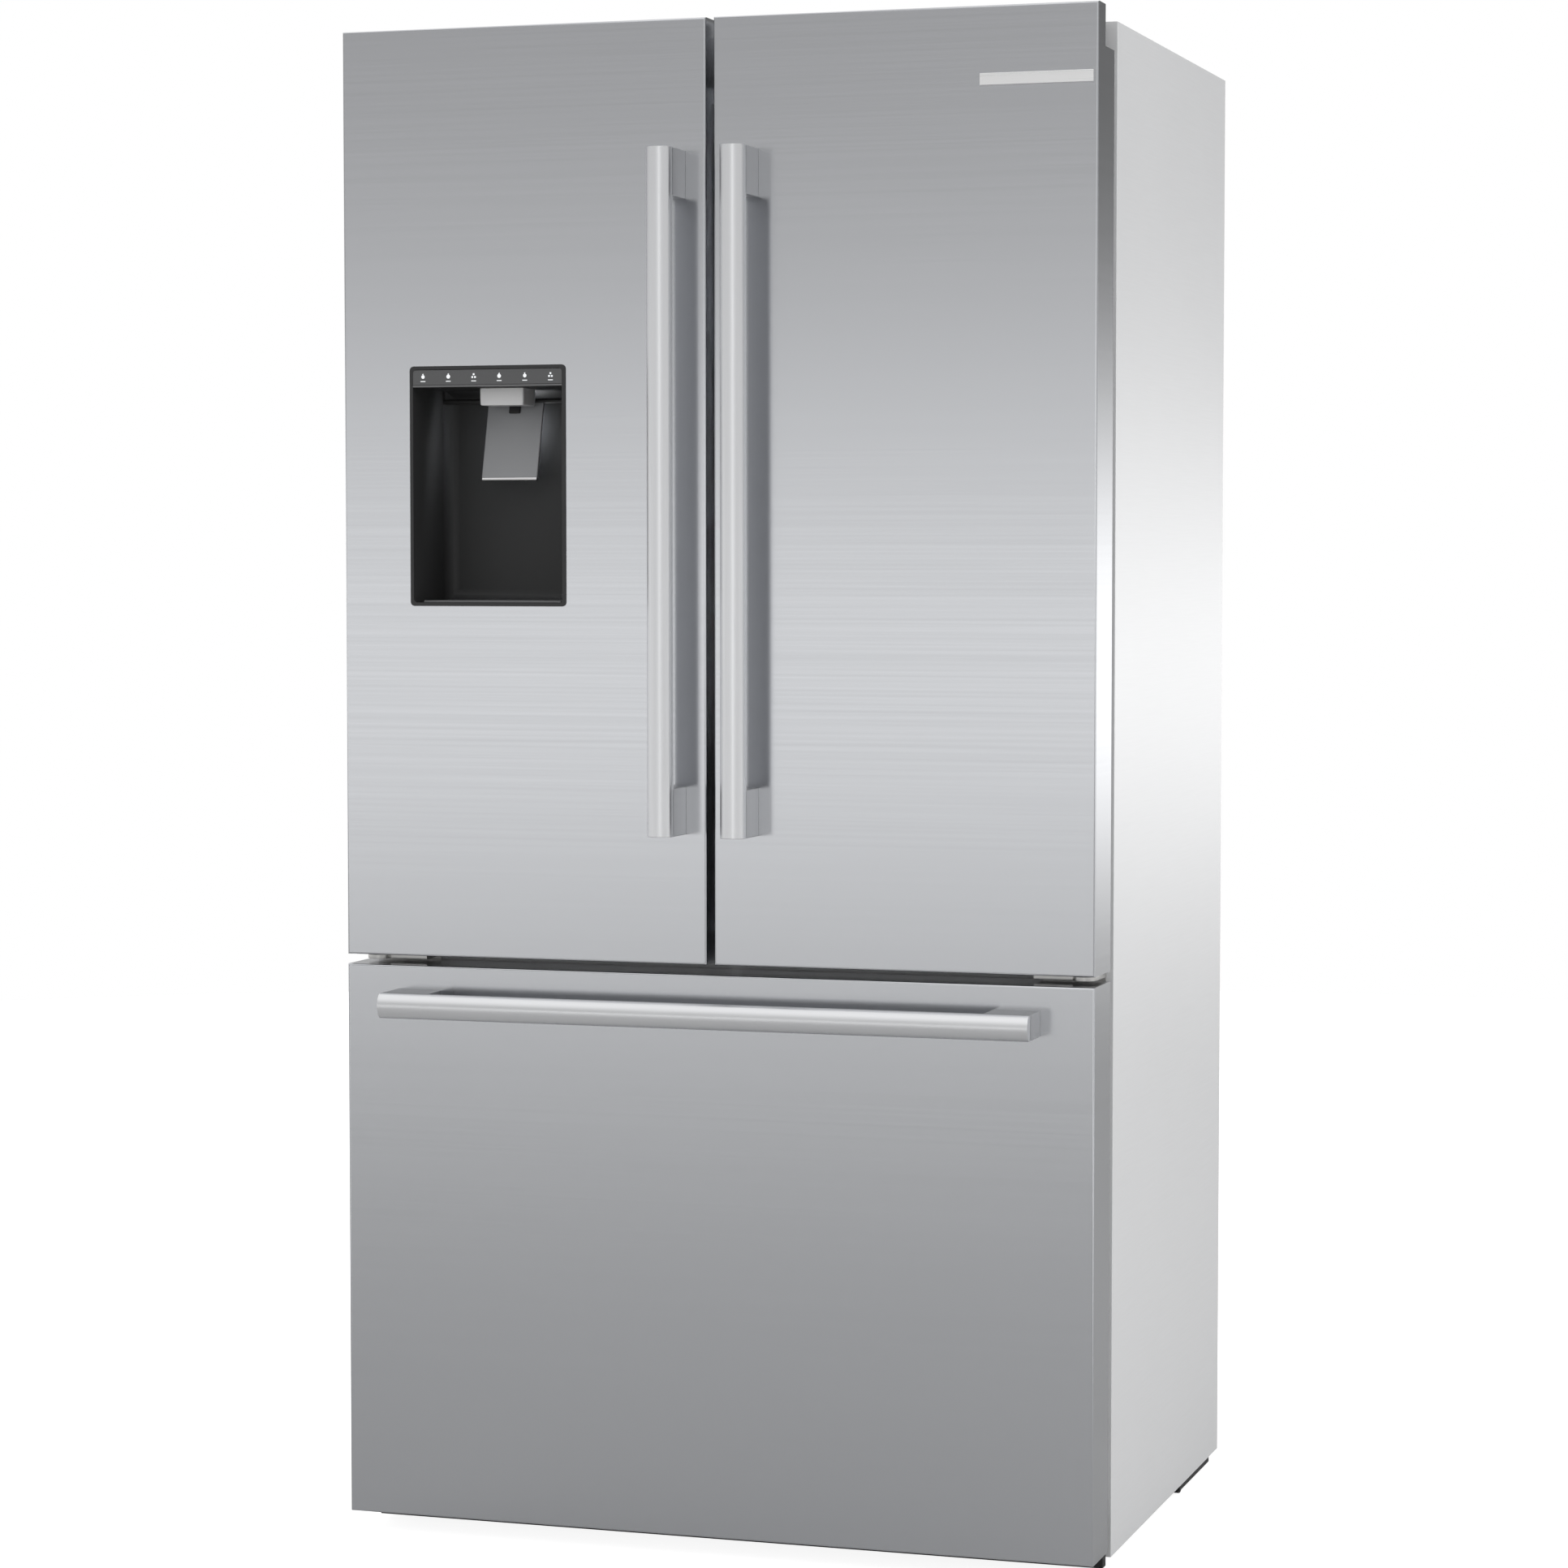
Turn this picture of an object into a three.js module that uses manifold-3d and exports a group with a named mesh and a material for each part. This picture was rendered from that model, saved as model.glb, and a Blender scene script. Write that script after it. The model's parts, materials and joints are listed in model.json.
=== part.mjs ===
// French door refrigerator: two fresh-food doors above a freezer drawer, with an ice and water dispenser
// in the left door. Millimetres, +Z up, fronts face -Y, origin on the floor under the centre of the whole.

import * as THREE from 'three';
import { mergeVertices } from 'three/addons/utils/BufferGeometryUtils.js';
import Module from 'manifold-3d';

const wasm = await Module();
wasm.setup();

// ---- Driving dimensions ----

// Outside
const WIDTH = 905;
const CABINET_DEPTH = 600.5;
const DOOR_THICKNESS = 75;
const DOOR_HEIGHT = 1079.4;
const DRAWER_HEIGHT = 654;
const DRAWER_LIFT = 26; // floor to the drawer front's bottom edge
const FRONT_GAP = 11.6; // drawer front to the doors above it
const DOOR_GAP = 9.3; // between the two doors
const DOOR_RISE = 11.5; // the doors stand this much above the cabinet's top sheet
const SEAL_GAP = 16; // door back to cabinet front
const CABINET_LIFT = 16; // floor to the cabinet's bottom edge
const REAR_COVER_DEPTH = 18.2;

// Sheets and clearances
const SHEET = 1.5; // cabinet steel
const SKIN = 1.2; // door steel
const LINER = 3; // moulded liners
const GAP = 0.3; // between faces that rest on each other
const SHAFT_GAP = 0.4; // around a shaft in its hole
const SLIDE_GAP = 0.6; // between a sliding piece and its guide

// Compartments
const SIDE_FRAME = 50; // cabinet side to the compartments' openings
const TOP_FRAME = 58;
const DIVIDER = 72; // between the freezer and the fresh-food openings
const FLOOR_FRAME = 76; // cabinet bottom edge to the freezer floor
const BACK_FOAM = 66; // compartment back to cabinet back
const MACHINE_DEPTH = 256; // machine compartment, forward from the cabinet's back
const MACHINE_TOP = 336; // its ceiling above the floor
const STEP_FOAM = 15; // machine compartment to the freezer's stepped wall

// Doors
const PIN_INSET = 22; // hinge pin to the door's outer edge
const PIN_SETBACK = 45; // hinge pin behind the door's front face
const PIN_RADIUS = 5;
const NOTCH_WIDTH = 52.5; // notch in the door's top corner, for the top hinge
const NOTCH_SETBACK = 32;
const NOTCH_DEPTH = 46;
const HINGE_PLATE = 4;
const HINGE_EYE = 11; // radius of the hinge plate and its boss around the pin
const HINGE_ARM = [-27, -1]; // across, outwards from the pin
const HINGE_BASE = [-90, -14];
const HINGE_BASE_DEPTH = 92;
const HINGE_COVER_RISE = 10; // above the doors
const CENTRE_HINGE_SPAN = [-60, 14];
const CENTRE_HINGE_THICKNESS = 5;
const SEAL_INSET = 4; // opening edge to the seal's inner edge
const SEAL_WIDTH = 18;
const DIKE_HINGE_INSET = 65; // door's outer edge to the ridge that holds the bins
const DIKE_FREE_INSET = 44; // middle of the refrigerator to that ridge
const DIKE_DEPTH = 45;
const DIKE_WALL = 14;
const DIKE_MARGIN = 10; // inside the compartment's opening, above and below

// Handles
const HANDLE_PROJECTION = 60;
const HANDLE_LENGTH = 780;
const DRAWER_HANDLE_INSET = 62.5; // its ends to the drawer's ends
const HANDLE_WIDTH = 29;
const HANDLE_SIDE = 9; // the bar's flat sides
const HANDLE_CROWN = 7.5; // rise of its rounded front
const POST_LENGTH = 55;
const DOOR_HANDLE_X = 43.7; // bar centre to the middle of the refrigerator
const DOOR_HANDLE_LIFT = 0.2; // bar's middle above the door's middle
const DRAWER_HANDLE_DROP = 42.5; // below the drawer's top edge

// Badge plate
const BADGE_SIZE = [130, 13.4];
const BADGE_THICKNESS = 1.5;
const BADGE_INSET = 5.5; // from the door's outer edge
const BADGE_DROP = 81.5; // below the door's top edge

// Dispenser
const DISPENSER_INSET = 180.2; // its middle to the door's outer edge
const DISPENSER_WIDTH = 193.3;
const DISPENSER_RISE = 410.9; // above the door's bottom edge
const DISPENSER_HEIGHT = 278.8;
const DISPENSER_REACH = 29; // depth beyond the door's back
const DISPENSER_WALL = 2.5;
const BEZEL = 4; // its rim, seen from the front
const BEZEL_THICKNESS = 1.5;
const PANEL_HEIGHT = 25;
const PANEL_SETBACK = 13;
const CHUTE_SIZE = [54.8, 40, 20];
const CHUTE_CLEARANCE = 60; // its front to the recess's back
const CHUTE_WALL = 3;
const LEVER_WIDTH = 70;
const LEVER_LENGTH = 97;
const LEVER_THICKNESS = 4;
const LEVER_TILT = 14.4; // degrees, foot forward
const LEVER_CLEARANCE = 11; // pivot in front of the recess's back
const LEVER_DROP = 14; // pivot below the recess ceiling

// Mullion flap
const FLAP_WIDTH = 30.5;
const FLAP_THICKNESS = 17.8;
const FLAP_PIVOT = 2; // pivot inside the flap's edge
const FLAP_AXIS = 7.8; // pivot behind the flap's front face
const FLAP_SETBACK = 1.2; // behind the cabinet's front plane
const FLAP_PIN_RADIUS = 3;
const FLAP_FREE_EDGE = -1.5; // x of the free edge, short of the middle
const EAR = 4;

// Fresh-food shelves and drawers
const CRISPER_SPACE = 210.2; // compartment floor to the cover over the crispers
const LOWER_SHELF_LIFT = 6.5; // above the middle between the crisper cover and the upper shelf
const SHELF_THICKNESS = 8;
const SHELF_CLEARANCE = 20; // shelves to the compartment's back wall
const SHELF_FRONT = 129; // cabinet front to the shelves' front edges
const RIB = 8;
const CRISPER_HEIGHT = 194;
const CRISPER_FRONT = 134;
const CRISPER_CLEARANCE = 10.5; // crispers' backs in front of the shelves' backs
const TUB_WALL = 3;

// Door bins
const LOWEST_BIN = 238.2; // above the compartment floor
const TOP_BIN_SPACE = 145.5; // highest right bin to the compartment's ceiling
const BIN_DEPTH = 108;
const BIN_HEIGHT = 96;
const SMALL_BIN_DEPTH = 82;
const SMALL_BIN_HEIGHT = 66;
const SMALL_BIN_CLEARANCE = 3; // small bin to the ridge above it

// Ice maker
const ICE_BOX_WIDTH = 213;
const ICE_BOX_HEIGHT = 217.5;
const ICE_BOX_LIFT = 59; // above the upper shelf
const ICE_BOX_CLEARANCE = 20.5; // ice box to the compartment's back wall
const ICE_BUCKET_HEIGHT = 104;
const ICE_BUCKET_SPACE = 83; // ice box's depth beyond the bucket's
const SPOUT_HEIGHT = 38;
const SPOUT_WIDTH = 60;
const SPOUT_REACH = 95; // forward of the ice box

// Freezer
const RAIL_HEIGHT = 40;
const RAIL_THICKNESS = 10;
const RAIL_Z = 382;
const GROOVE_HEIGHT = 16;
const GROOVE_DEPTH = 5;
const RAIL_CLEARANCE = 24.5; // rails to the evaporator cover
const BASKET_CLEARANCE = 45.5; // kept behind the basket
const TRAY_HEIGHT = 110;
const TRAY_CLEARANCE = 10; // tray's depth short of the basket's
const COVER_SETBACK = 60; // evaporator cover in front of the freezer's back

// Machinery
const EVAPORATOR_DEPTH = 42;
const EVAPORATOR_CLEARANCE = 12; // above the ledge under it
const EVAPORATOR_SIDE_SPACE = 102.5; // its end to the freezer's side
const COMPRESSOR_RADIUS = 82;
const COMPRESSOR_X = -250;
const CONDENSER_SIZE = [230, 150, 190];
const CONDENSER_X = 190;
const CONDENSER_FAN_RADIUS = 74;
const CONDENSER_FAN_X = -60;
const EVAPORATOR_FAN_RADIUS = 56;
const EVAPORATOR_FAN_CLEARANCE = 8.8; // below the freezer's ceiling
const EVAPORATOR_FAN_SPACE = 16; // between it and the evaporator
const FAN_WIDTH = 22;

// Base
const BASE_PLATE = 2;
const BASE_Z = 26;
const BASE_DROP = 8; // floor to the undersides of the base's rails and foot blocks
const FOOT_RADIUS = 18;
const FOOT_HEIGHT = 7.5;
const FOOT_SCREW_RADIUS = 5;
const FOOT_SCREW_LENGTH = 46;
const FOOT_INSET = 47.5; // from the cabinet's side
const FOOT_SETBACK = 30;
const ROLLER_RADIUS = 17;
const ROLLER_WIDTH = 12;
const ROLLER_INSET = 13.5; // from the cabinet's side
const ROLLER_SETBACK = 409; // behind the cabinet's front
const AXLE_RADIUS = 3.5;
const GRILLE_TOP = 62;
const GRILLE_BOTTOM = 6;

// ---- Planes that follow from them ----

const HALF = WIDTH / 2;
const DEPTH = HANDLE_PROJECTION + DOOR_THICKNESS + SEAL_GAP + CABINET_DEPTH + GAP + REAR_COVER_DEPTH;
const DOOR_FRONT = HANDLE_PROJECTION - DEPTH / 2;
const DOOR_BACK = DOOR_FRONT + DOOR_THICKNESS;
const CABINET_FRONT = DOOR_BACK + SEAL_GAP;
const CABINET_BACK = CABINET_FRONT + CABINET_DEPTH;
const DRAWER_TOP = DRAWER_LIFT + DRAWER_HEIGHT;
const DOOR_BOTTOM = DRAWER_TOP + FRONT_GAP;
const DOOR_TOP = DOOR_BOTTOM + DOOR_HEIGHT;
const CABINET_TOP = DOOR_TOP - DOOR_RISE;

const OPENING = HALF - SIDE_FRAME; // half the width of both openings
const FRONT_SPLIT = (DRAWER_TOP + DOOR_BOTTOM) / 2;
const FREEZER_FLOOR = CABINET_LIFT + FLOOR_FRAME;
const FREEZER_TOP = FRONT_SPLIT - DIVIDER / 2;
const FRESH_FLOOR = FRONT_SPLIT + DIVIDER / 2;
const FRESH_TOP = CABINET_TOP - TOP_FRAME;
const ROOM_BACK = CABINET_BACK - BACK_FOAM;
const STEP_BACK = CABINET_BACK - MACHINE_DEPTH - STEP_FOAM; // freezer's lower back wall
const STEP_TOP = MACHINE_TOP + STEP_FOAM; // freezer's ledge above the machine compartment
const COVER_Y = ROOM_BACK - COVER_SETBACK;

const PIN_X = HALF - PIN_INSET;
const PIN_Y = DOOR_FRONT + PIN_SETBACK;
const SHELF_BACK = ROOM_BACK - SHELF_CLEARANCE;
const ICE_BOX_BOTTOM = FRESH_TOP - ICE_BOX_HEIGHT;
const UPPER_SHELF_Z = ICE_BOX_BOTTOM - ICE_BOX_LIFT;
const CRISPER_COVER_Z = FRESH_FLOOR + CRISPER_SPACE;
const LOWER_SHELF_Z = (CRISPER_COVER_Z + UPPER_SHELF_Z) / 2 + LOWER_SHELF_LIFT;
const CRISPER_Y = CABINET_FRONT + CRISPER_FRONT;
const CRISPER_DEPTH = SHELF_BACK - CRISPER_CLEARANCE - CRISPER_Y;
const ICE_BOX_DEPTH = ROOM_BACK - ICE_BOX_CLEARANCE - CRISPER_Y;
const ICE_BUCKET_DEPTH = ICE_BOX_DEPTH - ICE_BUCKET_SPACE;

const LOWEST_BIN_Z = FRESH_FLOOR + LOWEST_BIN;
const BIN_STEP = (FRESH_TOP - TOP_BIN_SPACE - BIN_HEIGHT - LOWEST_BIN_Z) / 2;
const RIGHT_BIN_HEIGHTS = {
  right_bin_lower: LOWEST_BIN_Z,
  right_bin_middle: LOWEST_BIN_Z + BIN_STEP,
  right_bin_upper: LOWEST_BIN_Z + 2 * BIN_STEP,
};
const LEFT_BIN_UPPER_Z = FRESH_TOP - DIKE_MARGIN - DIKE_WALL - SMALL_BIN_CLEARANCE - SMALL_BIN_HEIGHT;

const DISPENSER_X = DISPENSER_INSET - HALF;
const DISPENSER_BOTTOM = DOOR_BOTTOM + DISPENSER_RISE;
const DISPENSER_DEPTH = DOOR_THICKNESS + DISPENSER_REACH;
const LEVER_SETBACK = DISPENSER_DEPTH - LEVER_CLEARANCE;
const CHUTE_SETBACK = DISPENSER_DEPTH - CHUTE_CLEARANCE;

const RAIL_LENGTH = COVER_Y - RAIL_CLEARANCE - CABINET_FRONT;
const BASKET_DEPTH = STEP_BACK - BASKET_CLEARANCE - DOOR_BACK;
const TRAY_DEPTH = BASKET_DEPTH - TRAY_CLEARANCE;
const EVAPORATOR_FAN_Z = FREEZER_TOP - EVAPORATOR_FAN_CLEARANCE - EVAPORATOR_FAN_RADIUS;
const EVAPORATOR_Z = STEP_TOP + EVAPORATOR_CLEARANCE;
const EVAPORATOR_SIZE = [2 * (OPENING - EVAPORATOR_SIDE_SPACE), EVAPORATOR_DEPTH,
  EVAPORATOR_FAN_Z - EVAPORATOR_FAN_RADIUS - EVAPORATOR_FAN_SPACE - EVAPORATOR_Z];
const FOOT_X = HALF - FOOT_INSET;
const ROLLER_X = HALF - ROLLER_INSET;

// ---- Solids ----

// A closed three.js geometry as a manifold solid.
function solid(geometry) {
  geometry.deleteAttribute('normal');
  geometry.deleteAttribute('uv');
  const merged = mergeVertices(geometry, 1e-4);
  const corners = merged.index.array;
  const faces = [];
  for (let i = 0; i < corners.length; i += 3) {
    const [a, b, c] = [corners[i], corners[i + 1], corners[i + 2]];
    if (a !== b && b !== c && c !== a) faces.push(a, b, c); // a lathe's pole folds some faces to lines
  }
  return new wasm.Manifold(new wasm.Mesh({
    numProp: 3,
    vertProperties: new Float32Array(merged.attributes.position.array),
    triVerts: new Uint32Array(faces),
  }));
}

// A box between two limits on each axis, given in either order.
function block([x0, x1], [y0, y1], [z0, z1]) {
  const box = new THREE.BoxGeometry(Math.abs(x1 - x0), Math.abs(y1 - y0), Math.abs(z1 - z0));
  return solid(box.translate((x0 + x1) / 2, (y0 + y1) / 2, (z0 + z1) / 2));
}

// A round bar centred on a point, lying along x, y or z.
function rod(radius, length, axis, [x, y, z] = [0, 0, 0], sides = 24) {
  const bar = new THREE.CylinderGeometry(radius, radius, length, sides);
  if (axis === 'x') bar.rotateZ(Math.PI / 2);
  if (axis === 'z') bar.rotateX(Math.PI / 2);
  return solid(bar.translate(x, y, z));
}

// An outline in the y-z plane, drawn out along x between two limits.
function profile(points, [x0, x1]) {
  const outline = new THREE.Shape(points.map(([y, z]) => new THREE.Vector2(y, z)));
  const bar = new THREE.ExtrudeGeometry(outline, { depth: Math.abs(x1 - x0), bevelEnabled: false });
  bar.applyMatrix4(new THREE.Matrix4().makeBasis(
    new THREE.Vector3(0, 1, 0), new THREE.Vector3(0, 0, 1), new THREE.Vector3(1, 0, 0)));
  return solid(bar.translate(Math.min(x0, x1), 0, 0));
}

const join = (...solids) => solids.reduce((whole, part) => whole.add(part));
const cut = (whole, ...tools) => tools.reduce((left, tool) => left.subtract(tool), whole);
const evenly = (count, from, to) => Array.from({ length: count }, (_, i) =>
  from + ((to - from) * (i + 0.5)) / count);

// An open-topped tub around the origin: x centred, y from 0 back, z from 0 up.
function tub(width, depth, height, wall) {
  return cut(
    block([-width / 2, width / 2], [0, depth], [0, height]),
    block([wall - width / 2, width / 2 - wall], [wall, depth - wall], [wall, height + wall]),
  );
}

// A rectangular ring standing in the x-z plane.
function ring([x0, x1], [y0, y1], [z0, z1], width) {
  return cut(
    block([x0, x1], [y0, y1], [z0, z1]),
    block([x0 + width, x1 - width], [y0 - 1, y1 + 1], [z0 + width, z1 - width]),
  );
}

// ---- Finishes ----

const FINISHES = {
  stainless: { color: 0xb4b6ba, roughness: 0.35, metalness: 1 },
  satin_handle: { color: 0xd2d3d6, roughness: 0.3, metalness: 1 },
  grey_sheet: { color: 0xcfcfcd, roughness: 0.4, metalness: 0.6 },
  zinc: { color: 0xb9bbbd, roughness: 0.4, metalness: 1 },
  black_sheet: { color: 0x202122, roughness: 0.6, metalness: 0.4 },
  white_liner: { color: 0xf0f1f2, roughness: 0.4, metalness: 0 },
  grey_plastic: { color: 0xc9cacb, roughness: 0.45, metalness: 0 },
  black_plastic: { color: 0x232425, roughness: 0.45, metalness: 0 },
  clear_plastic: { color: 0xe6eef0, roughness: 0.1, metalness: 0 },
  glass: { color: 0xdfeceb, roughness: 0.05, metalness: 0 },
  seal_rubber: { color: 0x2b2c2e, roughness: 0.7, metalness: 0 },
  aluminium: { color: 0xc4c6c8, roughness: 0.45, metalness: 1 },
};

// A named mesh from a solid.
function piece(name, made, finish) {
  const { vertProperties, triVerts } = made.getMesh();
  const geometry = new THREE.BufferGeometry();
  geometry.setAttribute('position', new THREE.BufferAttribute(new Float32Array(vertProperties), 3));
  geometry.setIndex(new THREE.BufferAttribute(new Uint32Array(triVerts), 1));
  geometry.computeVertexNormals();
  const mesh = new THREE.Mesh(geometry, new THREE.MeshStandardMaterial(FINISHES[finish]));
  mesh.name = name;
  return mesh;
}

function at(mesh, x, y, z) {
  mesh.position.set(x, y, z);
  return mesh;
}

const SIDES = { left: -1, right: 1 };

// ---- Cabinet shells ----

function cabinetWrapper() {
  const through = [CABINET_FRONT - 1, CABINET_FRONT + SHEET + 1];
  return piece('cabinet_wrapper', cut(
    block([-HALF, HALF], [CABINET_FRONT, CABINET_BACK], [CABINET_LIFT, CABINET_TOP]),
    block([SHEET - HALF, HALF - SHEET], [CABINET_FRONT + SHEET, CABINET_BACK + 1],
      [CABINET_LIFT - 1, CABINET_TOP - SHEET]),
    block([-OPENING, OPENING], through, [FRESH_FLOOR, FRESH_TOP]),
    block([-OPENING, OPENING], through, [FREEZER_FLOOR, FREEZER_TOP]),
  ), 'grey_sheet');
}

function rearPanel() {
  const half = HALF - SHEET - GAP;
  return piece('rear_panel', block([-half, half], [CABINET_BACK - SHEET, CABINET_BACK],
    [MACHINE_TOP, CABINET_TOP - SHEET - GAP]), 'grey_sheet');
}

function freshFoodLiner() {
  const front = CABINET_FRONT + SHEET + GAP;
  const shell = cut(
    block([-OPENING - LINER, OPENING + LINER], [front, ROOM_BACK + LINER],
      [FRESH_FLOOR - LINER, FRESH_TOP + LINER]),
    block([-OPENING, OPENING], [front - 1, ROOM_BACK], [FRESH_FLOOR, FRESH_TOP]),
  );
  const ribs = [CRISPER_COVER_Z, LOWER_SHELF_Z, UPPER_SHELF_Z].flatMap((top) =>
    Object.values(SIDES).map((side) => block([side * (OPENING + 1), side * (OPENING - RIB)],
      [CABINET_FRONT + SHELF_FRONT + RIB, ROOM_BACK + 1], [top - GAP - RIB, top - GAP])));
  return piece('fresh_food_liner', join(shell, ...ribs), 'white_liner');
}

// The freezer liner is stepped: its lower back stands in front of the machine compartment.
function freezerLiner() {
  const front = CABINET_FRONT + SHEET + GAP;
  const hollow = (wall, start) => join(
    block([-OPENING - wall, OPENING + wall], [start, STEP_BACK + wall],
      [FREEZER_FLOOR - wall, FREEZER_TOP + wall]),
    block([-OPENING - wall, OPENING + wall], [start, ROOM_BACK + wall],
      [STEP_TOP - wall, FREEZER_TOP + wall]),
  );
  return piece('freezer_liner', cut(hollow(LINER, front), hollow(0, front - 1)), 'white_liner');
}

// ---- Base ----

function baseFrame() {
  const half = HALF - SHEET - GAP;
  const front = CABINET_FRONT + SHEET + GAP;
  const rollerY = CABINET_FRONT + ROLLER_SETBACK;
  const rail = ROLLER_WIDTH + 10;
  let frame = block([-half, half], [front, CABINET_BACK - GAP], [BASE_Z, BASE_Z + BASE_PLATE]);
  for (const side of Object.values(SIDES)) {
    const footY = CABINET_FRONT + FOOT_SETBACK;
    frame = join(frame,
      block([side * (ROLLER_X - rail / 2), side * (ROLLER_X + rail / 2)], [rollerY - 25, rollerY + 150],
        [BASE_DROP, BASE_Z + 1]),
      block([side * (FOOT_X - 22), side * (FOOT_X + 22)], [footY - 18, footY + 18], [BASE_DROP, BASE_Z + 1]));
    frame = cut(frame,
      block([side * (ROLLER_X - ROLLER_WIDTH / 2 - 1), side * (ROLLER_X + ROLLER_WIDTH / 2 + 1)],
        [rollerY - ROLLER_RADIUS - 2, rollerY + ROLLER_RADIUS + 2], [0, BASE_Z + BASE_PLATE + 1]),
      rod(AXLE_RADIUS + SHAFT_GAP, rail - 2, 'x', [side * ROLLER_X, rollerY, ROLLER_RADIUS]),
      rod(FOOT_SCREW_RADIUS + SHAFT_GAP, 60, 'z', [side * FOOT_X, footY, BASE_Z]));
  }
  return piece('base_frame', frame, 'black_sheet');
}

function toeGrille() {
  const half = HALF - 6;
  const slots = evenly(14, -half + 30, half - 30).map((x) =>
    block([x - 22, x + 22], [DOOR_BACK - 1, CABINET_FRONT + 1], [GRILLE_BOTTOM + 18, GRILLE_TOP - 26]));
  return piece('toe_grille', cut(block([-half, half], [DOOR_BACK + GAP, CABINET_FRONT - GAP],
    [GRILLE_BOTTOM, GRILLE_TOP]), ...slots), 'black_plastic');
}

function levellingFoot(name, side) {
  const foot = join(
    rod(FOOT_RADIUS, FOOT_HEIGHT, 'z', [0, 0, FOOT_HEIGHT / 2], 12),
    rod(FOOT_SCREW_RADIUS, FOOT_SCREW_LENGTH, 'z', [0, 0, FOOT_SCREW_LENGTH / 2 + 1], 16));
  return at(piece(name, foot, 'black_plastic'), side * FOOT_X, CABINET_FRONT + FOOT_SETBACK, 0);
}

function rearRoller(name, side) {
  const roller = join(rod(ROLLER_RADIUS, ROLLER_WIDTH, 'x'), rod(AXLE_RADIUS, ROLLER_WIDTH + 7, 'x'));
  return at(piece(name, roller, 'black_plastic'),
    side * ROLLER_X, CABINET_FRONT + ROLLER_SETBACK, ROLLER_RADIUS);
}

// ---- Hinges ----

// Top hinge: a plate on the cabinet's roof whose arm reaches over the door's notch to the pin. The arm
// leaves the pin on the inner side, clear of the door's corner as it swings. `side` faces outwards.
function topHingeOutline(side, low, high) {
  const fromPin = ([inner, outer]) => [side * (PIN_X + inner), side * (PIN_X + outer)];
  const baseFront = CABINET_FRONT + 2;
  return join(
    rod(HINGE_EYE, high - low, 'z', [side * PIN_X, PIN_Y, (low + high) / 2]),
    block(fromPin(HINGE_ARM), [PIN_Y - 9, baseFront + 20], [low, high]),
    block(fromPin(HINGE_BASE), [baseFront, baseFront + HINGE_BASE_DEPTH], [low, high]),
  );
}

function topHinge(name, side) {
  const low = CABINET_TOP + GAP;
  const notchFloor = DOOR_TOP - NOTCH_DEPTH;
  const upright = (radius, z0, z1) => rod(radius, z1 - z0, 'z', [side * PIN_X, PIN_Y, (z0 + z1) / 2]);
  return piece(name, join(
    topHingeOutline(side, low, low + HINGE_PLATE),
    upright(HINGE_EYE, notchFloor + 14, low + 1),
    upright(PIN_RADIUS, notchFloor - 24, low + 1),
  ), 'zinc');
}

function hingeCover(name, side) {
  const low = CABINET_TOP + HINGE_PLATE + 2 * GAP;
  const noseTop = DOOR_TOP - 1;
  const top = DOOR_TOP + HINGE_COVER_RISE;
  const back = CABINET_FRONT + HINGE_BASE_DEPTH;
  const slope = profile([[PIN_Y - 20, low - 1], [PIN_Y - 20, noseTop], [CABINET_FRONT, noseTop + 2],
    [CABINET_FRONT + 12, top], [back - 8, top], [back + 4, low - 1]],
  [side * (PIN_X + HINGE_BASE[0] - 5), side * (PIN_X + 20)]);
  const hollow = block([side * (PIN_X + HINGE_BASE[0] + 3), side * (PIN_X + HINGE_BASE[1] - 3)],
    [CABINET_FRONT + 14, back - 12], [low - 1, top - 3]);
  return piece(name, cut(topHingeOutline(side, low, top).intersect(slope), hollow), 'grey_plastic');
}

// Centre hinge: a plate in the gap between door and drawer, flanged to the divider, with its pin up.
function centreHinge(name, side) {
  const low = FRONT_SPLIT - CENTRE_HINGE_THICKNESS / 2;
  const high = low + CENTRE_HINGE_THICKNESS;
  const span = CENTRE_HINGE_SPAN.map((x) => side * (PIN_X + x));
  const back = CABINET_FRONT - GAP;
  return piece(name, join(
    block(span, [PIN_Y, back], [low, high]),
    rod(CENTRE_HINGE_SPAN[1], high - low, 'z', [side * PIN_X, PIN_Y, (low + high) / 2]),
    block(span, [back - SEAL_GAP / 8, back], [low - 10, high + 9]),
    rod(PIN_RADIUS, 32, 'z', [side * PIN_X, PIN_Y, low + 16]),
  ), 'zinc');
}

// ---- Door shells ----

// A steel tray, open behind, with its back edges standing round the liner.
function steelTray([x0, x1], [z0, z1]) {
  return cut(
    block([x0, x1], [DOOR_FRONT, DOOR_BACK], [z0, z1]),
    block([x0 + SKIN, x1 - SKIN], [DOOR_FRONT + SKIN, DOOR_BACK + 1], [z0 + SKIN, z1 - SKIN]),
  );
}

// The same door span on either side, between its outer edge and the middle gap.
const doorSpan = (side, inset) => {
  const outer = side * (HALF - inset);
  const inner = side * (DOOR_GAP / 2 + inset);
  return [Math.min(outer, inner), Math.max(outer, inner)];
};

// The top corner notch, grown by a margin into the door.
function notch(side, margin) {
  return block([side * (HALF - NOTCH_WIDTH - margin), side * (HALF + 5)],
    [DOOR_FRONT + NOTCH_SETBACK - margin, DOOR_BACK + 1], [DOOR_TOP - NOTCH_DEPTH - margin, DOOR_TOP + 1]);
}

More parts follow.
